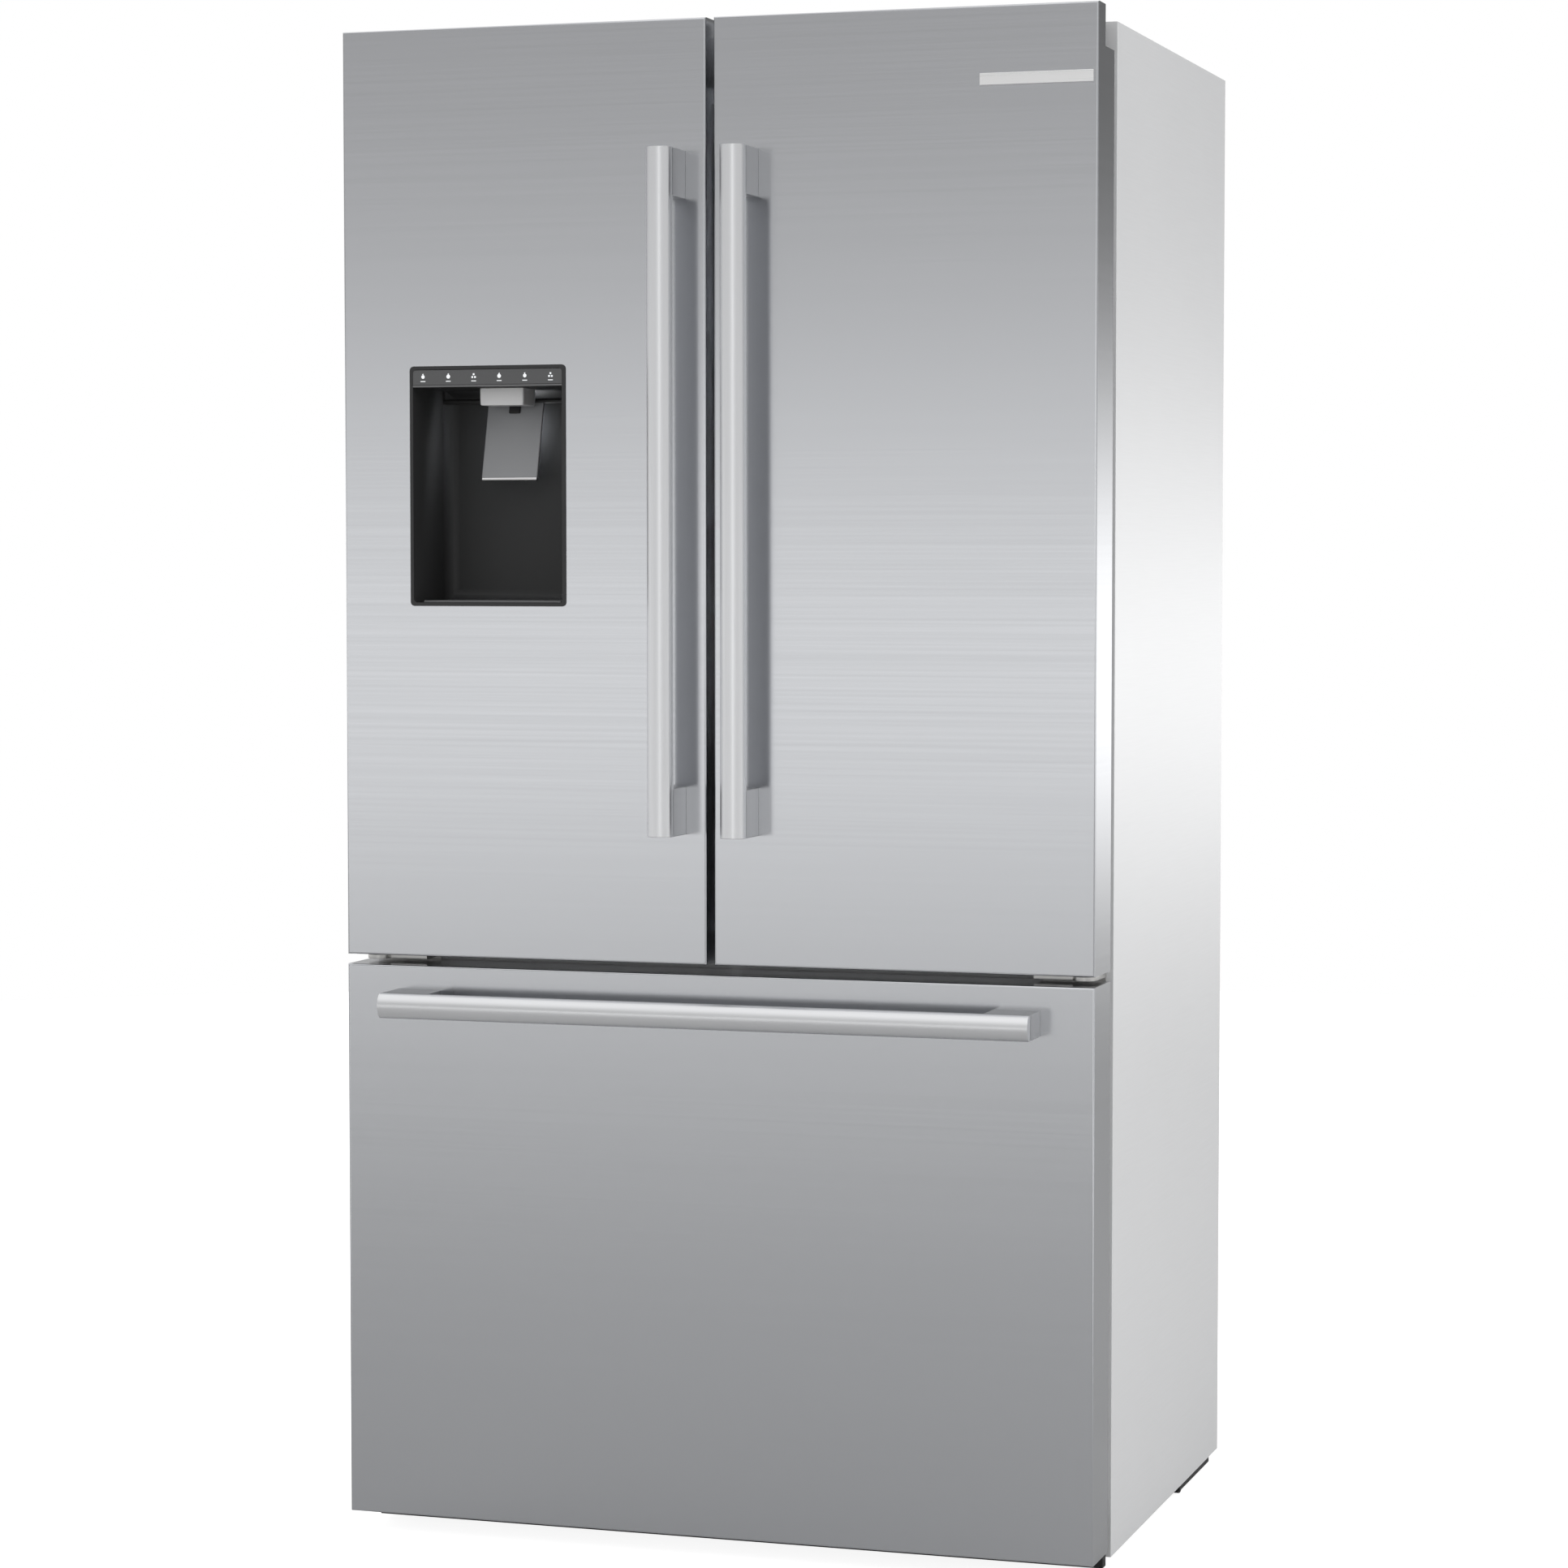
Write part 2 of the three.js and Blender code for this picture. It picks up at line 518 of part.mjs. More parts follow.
function doorSkin(side) {
  const outer = block(doorSpan(side, 0), [DOOR_FRONT, DOOR_BACK], [DOOR_BOTTOM, DOOR_TOP]);
  const hollow = block(doorSpan(side, SKIN), [DOOR_FRONT + SKIN, DOOR_BACK + 1],
    [DOOR_BOTTOM + SKIN, DOOR_TOP - SKIN]);
  return cut(
    cut(outer, notch(side, 0)),
    cut(hollow, notch(side, SKIN)),
    rod(PIN_RADIUS + SHAFT_GAP, 6, 'z', [side * PIN_X, PIN_Y, DOOR_BOTTOM]),
    rod(PIN_RADIUS + SHAFT_GAP, 6, 'z', [side * PIN_X, PIN_Y, DOOR_TOP - NOTCH_DEPTH]),
  );
}

// The span of the ridge on a door's inside, from its hinge side to its free side.
const dikeSpan = (side, inset) => [side * (HALF - DIKE_HINGE_INSET - inset), side * (DIKE_FREE_INSET + inset)]
  .sort((a, b) => a - b);

function doorLiner(side) {
  const edge = SKIN + GAP;
  const plate = cut(
    block(doorSpan(side, edge), [DOOR_BACK - LINER, DOOR_BACK], [DOOR_BOTTOM + edge, DOOR_TOP - edge]),
    notch(side, edge),
  );
  const dike = ring(dikeSpan(side, 0), [DOOR_BACK - 1, DOOR_BACK + DIKE_DEPTH],
    [FRESH_FLOOR + DIKE_MARGIN, FRESH_TOP - DIKE_MARGIN], DIKE_WALL);
  return join(plate, dike);
}

function freshSeal(name, side) {
  const inner = side * (DOOR_GAP / 2 + SEAL_INSET);
  const outer = side * (OPENING + SEAL_INSET + SEAL_WIDTH);
  return piece(name, ring([Math.min(inner, outer), Math.max(inner, outer)],
    [DOOR_BACK + GAP, CABINET_FRONT - GAP],
    [FRESH_FLOOR - SEAL_INSET - SEAL_WIDTH, FRESH_TOP + SEAL_INSET + SEAL_WIDTH], SEAL_WIDTH), 'seal_rubber');
}

// ---- Handles ----

// An upright bar with a rounded front on two end posts; y = 0 is the door's face, the origin its middle.
function handleSolid(length) {
  const half = HANDLE_WIDTH / 2;
  const radius = (half * half + HANDLE_CROWN * HANDLE_CROWN) / (2 * HANDLE_CROWN);
  const shoulder = HANDLE_CROWN - HANDLE_PROJECTION;
  const reach = Math.asin(half / radius);
  const outline = new THREE.Shape();
  outline.moveTo(half, shoulder + HANDLE_SIDE);
  outline.lineTo(-half, shoulder + HANDLE_SIDE);
  outline.absarc(0, radius - HANDLE_PROJECTION, radius, -Math.PI / 2 - reach, -Math.PI / 2 + reach, false);
  const bar = new THREE.ExtrudeGeometry(outline,
    { depth: length, bevelEnabled: false, curveSegments: 10 });
  const post = (z) => block([-half, half], [shoulder + HANDLE_SIDE - 1, -GAP], [z, z + POST_LENGTH]);
  return join(solid(bar.translate(0, 0, -length / 2)), post(-length / 2), post(length / 2 - POST_LENGTH));
}

const doorHandle = (name, side) =>
  at(piece(name, handleSolid(HANDLE_LENGTH), 'satin_handle'),
    side * DOOR_HANDLE_X, DOOR_FRONT, DOOR_BOTTOM + DOOR_HEIGHT / 2 + DOOR_HANDLE_LIFT);

function drawerHandle() {
  const made = handleSolid(WIDTH - 2 * DRAWER_HANDLE_INSET);
  const handle = at(piece('freezer_handle', made, 'satin_handle'),
    0, DOOR_FRONT, DRAWER_TOP - DRAWER_HANDLE_DROP);
  handle.rotation.y = Math.PI / 2;
  return handle;
}

function badgePlate() {
  const [width, height] = BADGE_SIZE;
  const outer = HALF - BADGE_INSET;
  const middle = DOOR_TOP - BADGE_DROP;
  return piece('badge_plate', block([outer - width, outer],
    [DOOR_FRONT - GAP - BADGE_THICKNESS, DOOR_FRONT - GAP],
    [middle - height / 2, middle + height / 2]), 'satin_handle');
}

// ---- Door bins and flap ----

function doorBin(name, side, depth, height, z) {
  const [x0, x1] = dikeSpan(side, DIKE_WALL + SLIDE_GAP);
  const bin = piece(name, tub(x1 - x0, depth, height, TUB_WALL), 'clear_plastic');
  return at(bin, (x0 + x1) / 2, DOOR_BACK + GAP, z);
}

const flapPivotX = FLAP_FREE_EDGE - FLAP_WIDTH + FLAP_PIVOT;
const flapPivotY = CABINET_FRONT + FLAP_SETBACK + FLAP_AXIS;
const flapLow = FRESH_FLOOR + DIKE_MARGIN + EAR + 4;
const flapHigh = FRESH_TOP - DIKE_MARGIN - EAR - 4;

// The flap's ears stand out from the ridge on the left door, above and below it.
function flapEars() {
  const ears = [flapLow - 1 - EAR, flapHigh + 1].map((z) =>
    block([-DIKE_FREE_INSET - 2, flapPivotX + 6], [flapPivotY - 7, flapPivotY + 8], [z, z + EAR]));
  const holes = rod(FLAP_PIN_RADIUS + SHAFT_GAP, flapHigh - flapLow + 30, 'z',
    [flapPivotX, flapPivotY, (flapLow + flapHigh) / 2]);
  return cut(join(...ears), holes);
}

function mullionFlap() {
  const leaf = block([-FLAP_PIVOT, FLAP_WIDTH - FLAP_PIVOT], [-FLAP_AXIS, FLAP_THICKNESS - FLAP_AXIS],
    [flapLow, flapHigh]);
  const pin = rod(FLAP_PIN_RADIUS, flapHigh - flapLow + 2 * EAR, 'z', [0, 0, (flapLow + flapHigh) / 2]);
  return at(piece('mullion_flap', join(leaf, pin), 'grey_plastic'), flapPivotX, flapPivotY, 0);
}

// ---- Dispenser ----

const dispenserTop = DISPENSER_BOTTOM + DISPENSER_HEIGHT;
const recessHalf = DISPENSER_WIDTH / 2 - BEZEL;
const recessBack = DOOR_FRONT + DISPENSER_DEPTH;
const recessFloor = DISPENSER_BOTTOM + BEZEL;
const recessCeiling = dispenserTop - PANEL_HEIGHT + 1;
const pocketBack = DOOR_FRONT + PANEL_SETBACK + GAP + 2;
const pocketHalf = recessHalf + 1;
const across = (half) => [DISPENSER_X - half, DISPENSER_X + half];
const tubHalf = recessHalf + DISPENSER_WALL;
const tubTop = recessCeiling + DISPENSER_WALL;
const chuteY = [DOOR_FRONT + CHUTE_SETBACK, DOOR_FRONT + CHUTE_SETBACK + CHUTE_SIZE[1]];
const chuteHole = (z0, z1) => block(across(CHUTE_SIZE[0] / 2 - CHUTE_WALL),
  [chuteY[0] + CHUTE_WALL, chuteY[1] - CHUTE_WALL], [z0, z1]);

function dispenserHousing() {
  const face = [DOOR_FRONT - GAP - BEZEL_THICKNESS, DOOR_FRONT - GAP];
  const outside = join(
    block(across(DISPENSER_WIDTH / 2), face, [DISPENSER_BOTTOM, dispenserTop]),
    block(across(tubHalf), [face[0] + 0.5, recessBack + DISPENSER_WALL],
      [recessFloor - DISPENSER_WALL, tubTop]),
    block(across(tubHalf), [face[0] + 0.5, pocketBack + DISPENSER_WALL], [tubTop - 5, dispenserTop - 1.5]),
  );
  const pivotY = DOOR_FRONT + LEVER_SETBACK;
  return piece('dispenser_housing', cut(outside,
    block(across(recessHalf), [face[0] - 1, recessBack], [recessFloor, recessCeiling]),
    block(across(pocketHalf), [face[0] - 1, pocketBack], [recessCeiling - 2, dispenserTop - BEZEL]),
    chuteHole(recessCeiling - 1, tubTop + 1),
    rod(3 + SHAFT_GAP, 2 * tubHalf + 2, 'x', [DISPENSER_X, pivotY, recessCeiling - LEVER_DROP]),
  ), 'black_plastic');
}

function dispenserPanel() {
  const front = DOOR_FRONT - GAP - BEZEL_THICKNESS;
  const back = DOOR_FRONT + PANEL_SETBACK;
  const low = dispenserTop - PANEL_HEIGHT + 0.5;
  const high = dispenserTop - BEZEL - GAP;
  return piece('dispenser_panel', profile(
    [[front, high], [front, low + 7], [back - 5, low], [back, low], [back, high]],
    across(pocketHalf - GAP)), 'black_plastic');
}

function dispenserChute() {
  const [width, , height] = CHUTE_SIZE;
  const top = recessCeiling - GAP;
  return piece('dispenser_chute', cut(
    block(across(width / 2), chuteY, [top - height, top]),
    chuteHole(top - height - 1, top + 1)), 'grey_plastic');
}

// The lever hangs from a cross pin that runs from wall to wall of the recess.
function dispenserLever() {
  const lever = join(
    block([-LEVER_WIDTH / 2, LEVER_WIDTH / 2], [-LEVER_THICKNESS / 2, LEVER_THICKNESS / 2],
      [-LEVER_LENGTH, 0]),
    rod(3, 2 * tubHalf, 'x'),
  );
  const mesh = at(piece('dispenser_lever', lever, 'grey_plastic'),
    DISPENSER_X, DOOR_FRONT + LEVER_SETBACK, recessCeiling - LEVER_DROP);
  mesh.rotation.x = THREE.MathUtils.degToRad(-LEVER_TILT);
  return mesh;
}

// The left liner adds a raised cover behind the dispenser, an ice inlet above it and the flap's ears.
function leftDoorLiner() {
  const cover = [DOOR_BACK - LINER, DOOR_BACK + DIKE_DEPTH - 5];
  const low = recessFloor - 20;
  const high = ICE_BOX_BOTTOM + 14;
  const inlet = block(across(SPOUT_WIDTH / 2), [DOOR_BACK - LINER - 1, DOOR_BACK + DIKE_DEPTH],
    [ICE_BOX_BOTTOM - SPOUT_HEIGHT, ICE_BOX_BOTTOM]);
  const shell = cut(
    block(across(tubHalf + 15), cover, [low, high]),
    block(across(tubHalf + 12), [cover[0] - 1, cover[1] - LINER], [low + LINER, high - LINER]),
  );
  const window = block(across(tubHalf + 12), [cover[0] - 1, DOOR_BACK + 1], [low + LINER, high - LINER]);
  return piece('left_door_liner', cut(join(cut(doorLiner(SIDES.left), window), shell, flapEars()), inlet),
    'white_liner');
}

function leftDoorPanel() {
  const opening = block(across(tubHalf + 0.4), [DOOR_FRONT - 1, DOOR_FRONT + SKIN + 1],
    [recessFloor - DISPENSER_WALL - 0.4, dispenserTop - 1.1]);
  return piece('left_door_panel', cut(doorSkin(SIDES.left), opening), 'stainless');
}

// ---- Fresh-food fittings ----

function shelf(name, z) {
  const half = OPENING - 1;
  const front = CABINET_FRONT + SHELF_FRONT;
  return piece(name, join(
    block([-half, half], [front, SHELF_BACK], [z, z + 5]),
    block([-half, half], [front, front + 12], [z, z + SHELF_THICKNESS + 6]),
    block([-half, half], [SHELF_BACK - 8, SHELF_BACK], [z, z + 22]),
  ), 'glass');
}

function crisper(name, side) {
  const width = OPENING - 16;
  const drawer = join(tub(width, CRISPER_DEPTH, CRISPER_HEIGHT, TUB_WALL),
    block([-width / 2, width / 2], [-12, 1], [0, CRISPER_HEIGHT]),
    block([-width / 4, width / 4], [-26, -10], [CRISPER_HEIGHT - 34, CRISPER_HEIGHT - 22]));
  return at(piece(name, drawer, 'clear_plastic'),
    side * (OPENING - RIB - 1.5 - width / 2), CRISPER_Y, FRESH_FLOOR + LINER);
}

const iceBoxX = [GAP - OPENING, ICE_BOX_WIDTH - OPENING];
const iceBoxFront = CRISPER_Y;
const spoutY = [iceBoxFront - SPOUT_REACH, iceBoxFront + 65];

// The ice maker's box stands in the top left corner; a spout under it leads forward to the door's inlet.
function iceMaker() {
  const back = iceBoxFront + ICE_BOX_DEPTH;
  const box = block(iceBoxX, [iceBoxFront, back], [ICE_BOX_BOTTOM, FRESH_TOP - GAP]);
  const room = block([iceBoxX[0] + LINER, iceBoxX[1] - LINER], [iceBoxFront - 1, back - LINER],
    [ICE_BOX_BOTTOM + LINER, FRESH_TOP - GAP - LINER]);
  const mould = block([iceBoxX[0] + 30, iceBoxX[1] - 30], [iceBoxFront + 120, back - 20],
    [FRESH_TOP - 70, FRESH_TOP - GAP - 1]);
  const spout = block(across(SPOUT_WIDTH / 2), spoutY, [ICE_BOX_BOTTOM - SPOUT_HEIGHT, ICE_BOX_BOTTOM + 1]);
  const channel = block(across(SPOUT_WIDTH / 2 - LINER), [spoutY[0] - 1, spoutY[1] - LINER],
    [ICE_BOX_BOTTOM - SPOUT_HEIGHT + LINER, ICE_BOX_BOTTOM - LINER]);
  const drop = block(across(SPOUT_WIDTH / 2 - LINER), [iceBoxFront + 12, spoutY[1] - LINER],
    [ICE_BOX_BOTTOM - LINER - 1, ICE_BOX_BOTTOM + LINER + 1]);
  return piece('ice_maker', cut(join(cut(box, room), mould, spout), channel, drop), 'grey_plastic');
}

function iceBucket() {
  const width = ICE_BOX_WIDTH - 2 * LINER - 6;
  const bucket = cut(
    join(tub(width, ICE_BUCKET_DEPTH, ICE_BUCKET_HEIGHT, TUB_WALL),
      block([-width / 2, width / 2], [-4, 1], [0, ICE_BUCKET_HEIGHT + 12])),
    block([-SPOUT_WIDTH / 2 + LINER, SPOUT_WIDTH / 2 - LINER], [18, 58], [-1, TUB_WALL + 1]));
  return at(piece('ice_bucket', bucket, 'clear_plastic'),
    (iceBoxX[0] + iceBoxX[1]) / 2, iceBoxFront, ICE_BOX_BOTTOM + LINER + GAP);
}

// ---- Freezer ----

const railZ = [RAIL_Z, RAIL_Z + RAIL_HEIGHT];
const railY = [CABINET_FRONT + 6, CABINET_FRONT + 6 + RAIL_LENGTH];
const railX = (side, place) => {
  const outer = OPENING - GAP - place * (RAIL_THICKNESS + SLIDE_GAP);
  return [side * outer, side * (outer - RAIL_THICKNESS)];
};
const armInner = OPENING - GAP - 2 * (RAIL_THICKNESS + SLIDE_GAP) - RAIL_THICKNESS;

const railMiddle = RAIL_Z + RAIL_HEIGHT / 2;

// The tongue on a member's outer face, which runs in the groove of the member outside it.
function tongue(side, place) {
  const [outer] = railX(side, place);
  const half = GROOVE_HEIGHT / 2 - SLIDE_GAP;
  return block([outer - side, outer + side * (GROOVE_DEPTH - SLIDE_GAP)], railY,
    [railMiddle - half, railMiddle + half]);
}

// A rail with a groove in its inner face; the next member's tongue runs in it.
function rail(name, side, place) {
  const [outer, inner] = railX(side, place);
  const groove = block([inner - side, inner + side * GROOVE_DEPTH], [railY[0] - 1, railY[1] + 1],
    [railMiddle - GROOVE_HEIGHT / 2, railMiddle + GROOVE_HEIGHT / 2]);
  const bar = cut(block([outer, inner], railY, railZ), groove);
  return piece(name, place ? join(bar, tongue(side, place)) : bar, 'zinc');
}

function freezerFrontPanel() {
  return piece('freezer_front_panel', steelTray([-HALF, HALF], [DRAWER_LIFT, DRAWER_TOP]), 'stainless');
}

// The liner behind the drawer front, with the two arms that carry the basket and ride in the rails.
function freezerFrontLiner() {
  const edge = SKIN + GAP;
  let liner = block([edge - HALF, HALF - edge], [DOOR_BACK - LINER, DOOR_BACK],
    [DRAWER_LIFT + edge, DRAWER_TOP - edge]);
  const raised = block([10 - armInner, armInner - 10], [DOOR_BACK - 1, DOOR_BACK + 12],
    [FREEZER_FLOOR + 12, FREEZER_TOP - 12]);
  liner = join(liner, raised);
  for (const side of Object.values(SIDES)) {
    const [outer, inner] = railX(side, 2);
    liner = join(liner, tongue(side, 2),
      block([outer, inner], [DOOR_BACK - 1, railY[1]], railZ),
      block([inner + side, inner - side * 16], [DOOR_BACK + 10, railY[0] + BASKET_DEPTH + 20],
        [RAIL_Z, RAIL_Z + LINER]));
  }
  return piece('freezer_front_liner', liner, 'white_liner');
}

function freezerSeal() {
  const half = OPENING + SEAL_INSET + SEAL_WIDTH;
  const seal = ring([-half, half], [DOOR_BACK + GAP, CABINET_FRONT - GAP],
    [FREEZER_FLOOR - SEAL_INSET - SEAL_WIDTH, FREEZER_TOP + SEAL_INSET + SEAL_WIDTH], SEAL_WIDTH);
  return piece('freezer_gasket', seal, 'seal_rubber');
}

// The basket hangs by its lip from the ledges on the drawer's arms.
function freezerBasket() {
  const body = armInner - 18;
  const floor = FREEZER_FLOOR + 8;
  const lipZ = RAIL_Z + 3 + GAP;
  const basket = join(tub(2 * body, BASKET_DEPTH, lipZ + 3 - floor, TUB_WALL), cut(
    block([1 - armInner, armInner - 1], [0, BASKET_DEPTH], [lipZ - floor, lipZ + 3 - floor]),
    block([TUB_WALL - body, body - TUB_WALL], [TUB_WALL, BASKET_DEPTH - TUB_WALL], [0, lipZ + 10])));
  return at(piece('freezer_basket', basket, 'clear_plastic'), 0, DOOR_BACK + 12 + SLIDE_GAP, floor);
}

// The tray lies on top of the arms and slides back over the basket.
function freezerTray() {
  const body = armInner - 4;
  const tray = join(tub(2 * body, TRAY_DEPTH, TRAY_HEIGHT, TUB_WALL),
    block([-armInner - 8, 1 - body], [10, TRAY_DEPTH - 10], [0, 4]),
    block([body - 1, armInner + 8], [10, TRAY_DEPTH - 10], [0, 4]));
  return at(piece('freezer_tray', tray, 'clear_plastic'), 0, DOOR_BACK + 14, RAIL_Z + RAIL_HEIGHT + GAP);
}

// ---- Cold side ----

// A finned coil: a solid core with fins standing out on both sides.
function finnedCoil([width, depth, height], count, core) {
  const slots = evenly(count, -width / 2, width / 2).flatMap((x) => [
    block([x - width / count / 3, x + width / count / 3], [-depth / 2 - 1, -core], [-1, height + 1]),
    block([x - width / count / 3, x + width / count / 3], [core, depth / 2 + 1], [-1, height + 1])]);
  return cut(block([-width / 2, width / 2], [-depth / 2, depth / 2], [0, height]), ...slots);
}

function evaporator() {
  return at(piece('evaporator', finnedCoil(EVAPORATOR_SIZE, 24, 5), 'aluminium'),
    0, (COVER_Y + LINER + ROOM_BACK) / 2, EVAPORATOR_Z);
}

// The cover's fan hole is crossed by two bars that carry the fan's motor.
function evaporatorCover() {
  const half = OPENING - GAP;
  const hole = EVAPORATOR_FAN_RADIUS - 4;
  const motor = (COVER_Y + LINER + ROOM_BACK) / 2 - FAN_WIDTH / 2 - COVER_Y - 0.5;
  const slots = evenly(9, 60 - OPENING, OPENING - 60).map((x) =>
    block([x - 30, x + 30], [COVER_Y - 1, COVER_Y + LINER + 1], [STEP_TOP + 22, STEP_TOP + 34]));
  const plate = cut(
    block([-half, half], [COVER_Y, COVER_Y + LINER], [STEP_TOP + GAP, FREEZER_TOP - GAP]),
    rod(hole, 20, 'y', [0, COVER_Y, EVAPORATOR_FAN_Z]), ...slots);
  return piece('evaporator_cover', join(plate,
    block([-hole - 1, hole + 1], [COVER_Y, COVER_Y + LINER], [EVAPORATOR_FAN_Z - 4, EVAPORATOR_FAN_Z + 4]),
    block([-4, 4], [COVER_Y, COVER_Y + LINER], [EVAPORATOR_FAN_Z - hole - 1, EVAPORATOR_FAN_Z + hole + 1]),
    rod(15, motor, 'y', [0, COVER_Y + motor / 2, EVAPORATOR_FAN_Z])), 'white_liner');
}

// A fan wheel about the z axis: a hub with pitched blades.
function fanWheel(radius, hub, count) {
  let wheel = rod(hub, FAN_WIDTH, 'z', [0, 0, 0], 16);
  for (let i = 0; i < count; i += 1) {
    const blade = new THREE.BoxGeometry(radius - hub + 4, 2, FAN_WIDTH * 1.25);
    blade.rotateX(THREE.MathUtils.degToRad(50));
    blade.translate((radius + hub - 4) / 2, 0, 0);
    blade.rotateZ((2 * Math.PI * i) / count);
    wheel = wheel.add(solid(blade));
  }
  return wheel;
}

function evaporatorFan() {
  const fan = at(piece('evaporator_fan', fanWheel(EVAPORATOR_FAN_RADIUS, 16, 7), 'black_plastic'),
    0, (COVER_Y + LINER + ROOM_BACK) / 2, EVAPORATOR_FAN_Z);
  fan.rotation.x = Math.PI / 2;
  return fan;
}

// ---- Machine compartment ----

const machineY = CABINET_BACK - MACHINE_DEPTH / 2 - 4;
const machineFloor = BASE_Z + BASE_PLATE + GAP;

function compressor() {
  const r = COMPRESSOR_RADIUS;
  const outline = [[0, 8], [r * 0.6, 8], [r * 0.93, 28], [r, 60],
    [r, 120], [r * 0.9, 152], [r * 0.55, 172], [0, 180]];
  const dome = new THREE.LatheGeometry(outline.map(([x, y]) => new THREE.Vector2(x, y)), 28);
  dome.rotateX(Math.PI / 2);
  return at(piece('compressor', join(solid(dome), block([-100, 100], [-62, 62], [0, 14])), 'black_sheet'),
    COMPRESSOR_X, machineY, machineFloor);
}

const condenserFanHeight = CONDENSER_SIZE[2] / 2 + 5;

// The condenser's foot plate also carries the post that its fan's motor stands on.
function condenser() {
  const motorEnd = CONDENSER_FAN_X - CONDENSER_X + FAN_WIDTH / 2 + GAP;
  return at(piece('condenser', join(
    finnedCoil(CONDENSER_SIZE, 18, 12),
    block([motorEnd + 4, 0], [-30, 30], [0, 3]),
    block([motorEnd + 8, motorEnd + 30], [-12, 12], [0, condenserFanHeight]),
    rod(22, 36, 'x', [motorEnd + 18, 0, condenserFanHeight])), 'aluminium'),
  CONDENSER_X, machineY, machineFloor);
}

function condenserFan() {
  const fan = at(piece('condenser_fan', fanWheel(CONDENSER_FAN_RADIUS, 20, 7), 'black_plastic'),
    CONDENSER_FAN_X, machineY, machineFloor + condenserFanHeight);
  fan.rotation.y = Math.PI / 2;
  return fan;
}

function machineCover() {
  const half = HALF - SHEET - 12;
  const [front, back] = [CABINET_BACK + GAP, CABINET_BACK + GAP + REAR_COVER_DEPTH];
  const slots = [-1, 1].flatMap((end) => evenly(8, 90, half - 40).map((x) =>
    block([end * x - 9, end * x + 9], [back - 3, back + 1], [BASE_Z + 60, MACHINE_TOP - 80])));
  return piece('machine_cover', cut(
    block([-half, half], [front, back], [BASE_Z + 2, MACHINE_TOP + 12]),
    block([2 - half, half - 2], [front - 1, back - 2], [BASE_Z + 4, MACHINE_TOP + 10]),
    ...slots), 'grey_sheet');
}

function powerInlet() {
  const x = OPENING - 60;
  const z = MACHINE_TOP + 60;
  const face = CABINET_BACK + GAP;
  return piece('power_inlet', cut(
    block([x - 26, x + 26], [face, face + 16], [z - 18, z + 18]),
    block([x - 12.5, x + 12.5], [face + 3, face + 17], [z - 8.5, z + 8.5])), 'black_plastic');
}

// ---- Assembly ----

function cabinet() {
  const group = new THREE.Group();
  group.add(cabinetWrapper(), rearPanel(), freshFoodLiner(), freezerLiner(), baseFrame(), toeGrille(),
    shelf('shelf_upper', UPPER_SHELF_Z), shelf('shelf_lower', LOWER_SHELF_Z),
    shelf('crisper_cover', CRISPER_COVER_Z), iceMaker(), iceBucket(),
    evaporator(), evaporatorCover(), evaporatorFan(), compressor(), condenser(), condenserFan(),
    machineCover(), powerInlet());
  for (const [word, side] of Object.entries(SIDES)) {
    group.add(topHinge(`hinge_top_${word}`, side), hingeCover(`hinge_cover_${word}`, side),
      centreHinge(`hinge_centre_${word}`, side), levellingFoot(`front_foot_${word}`, side),
      rearRoller(`rear_roller_${word}`, side), crisper(`crisper_${word}`, side),
      rail(`freezer_rail_${word}`, side, 0), rail(`slide_member_${word}`, side, 1));
  }
  return group;
}

function leftDoor() {
  const group = new THREE.Group();
  group.add(leftDoorPanel(), leftDoorLiner(), freshSeal('left_door_gasket', SIDES.left),
    doorHandle('left_door_handle', SIDES.left), dispenserHousing(), dispenserPanel(), dispenserChute(),
    dispenserLever(), doorBin('left_bin_lower', SIDES.left, BIN_DEPTH, BIN_HEIGHT, LOWEST_BIN_Z),
    doorBin('left_bin_upper', SIDES.left, SMALL_BIN_DEPTH, SMALL_BIN_HEIGHT, LEFT_BIN_UPPER_Z),
    mullionFlap());
  return group;
}

function rightDoor() {
  const group = new THREE.Group();
  group.add(piece('right_door_panel', doorSkin(SIDES.right), 'stainless'),
    piece('right_door_liner', doorLiner(SIDES.right), 'white_liner'),
    freshSeal('right_door_gasket', SIDES.right), doorHandle('right_door_handle', SIDES.right), badgePlate());
  for (const [name, z] of Object.entries(RIGHT_BIN_HEIGHTS)) {
    group.add(doorBin(name, SIDES.right, BIN_DEPTH, BIN_HEIGHT, z));
  }
  return group;
}

function freezerDrawer() {
  const group = new THREE.Group();
  group.add(freezerFrontPanel(), freezerFrontLiner(), freezerSeal(), drawerHandle(), freezerBasket(),
    freezerTray());
  return group;
}

const refrigerator = new THREE.Group();
refrigerator.add(cabinet(), leftDoor(), rightDoor(), freezerDrawer());

export default refrigerator;
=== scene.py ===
"""Looks of a french door refrigerator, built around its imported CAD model. Metres, +Z up, fronts face -Y."""

import json
import math

import bmesh
import bpy
from mathutils import Euler, Matrix, Vector


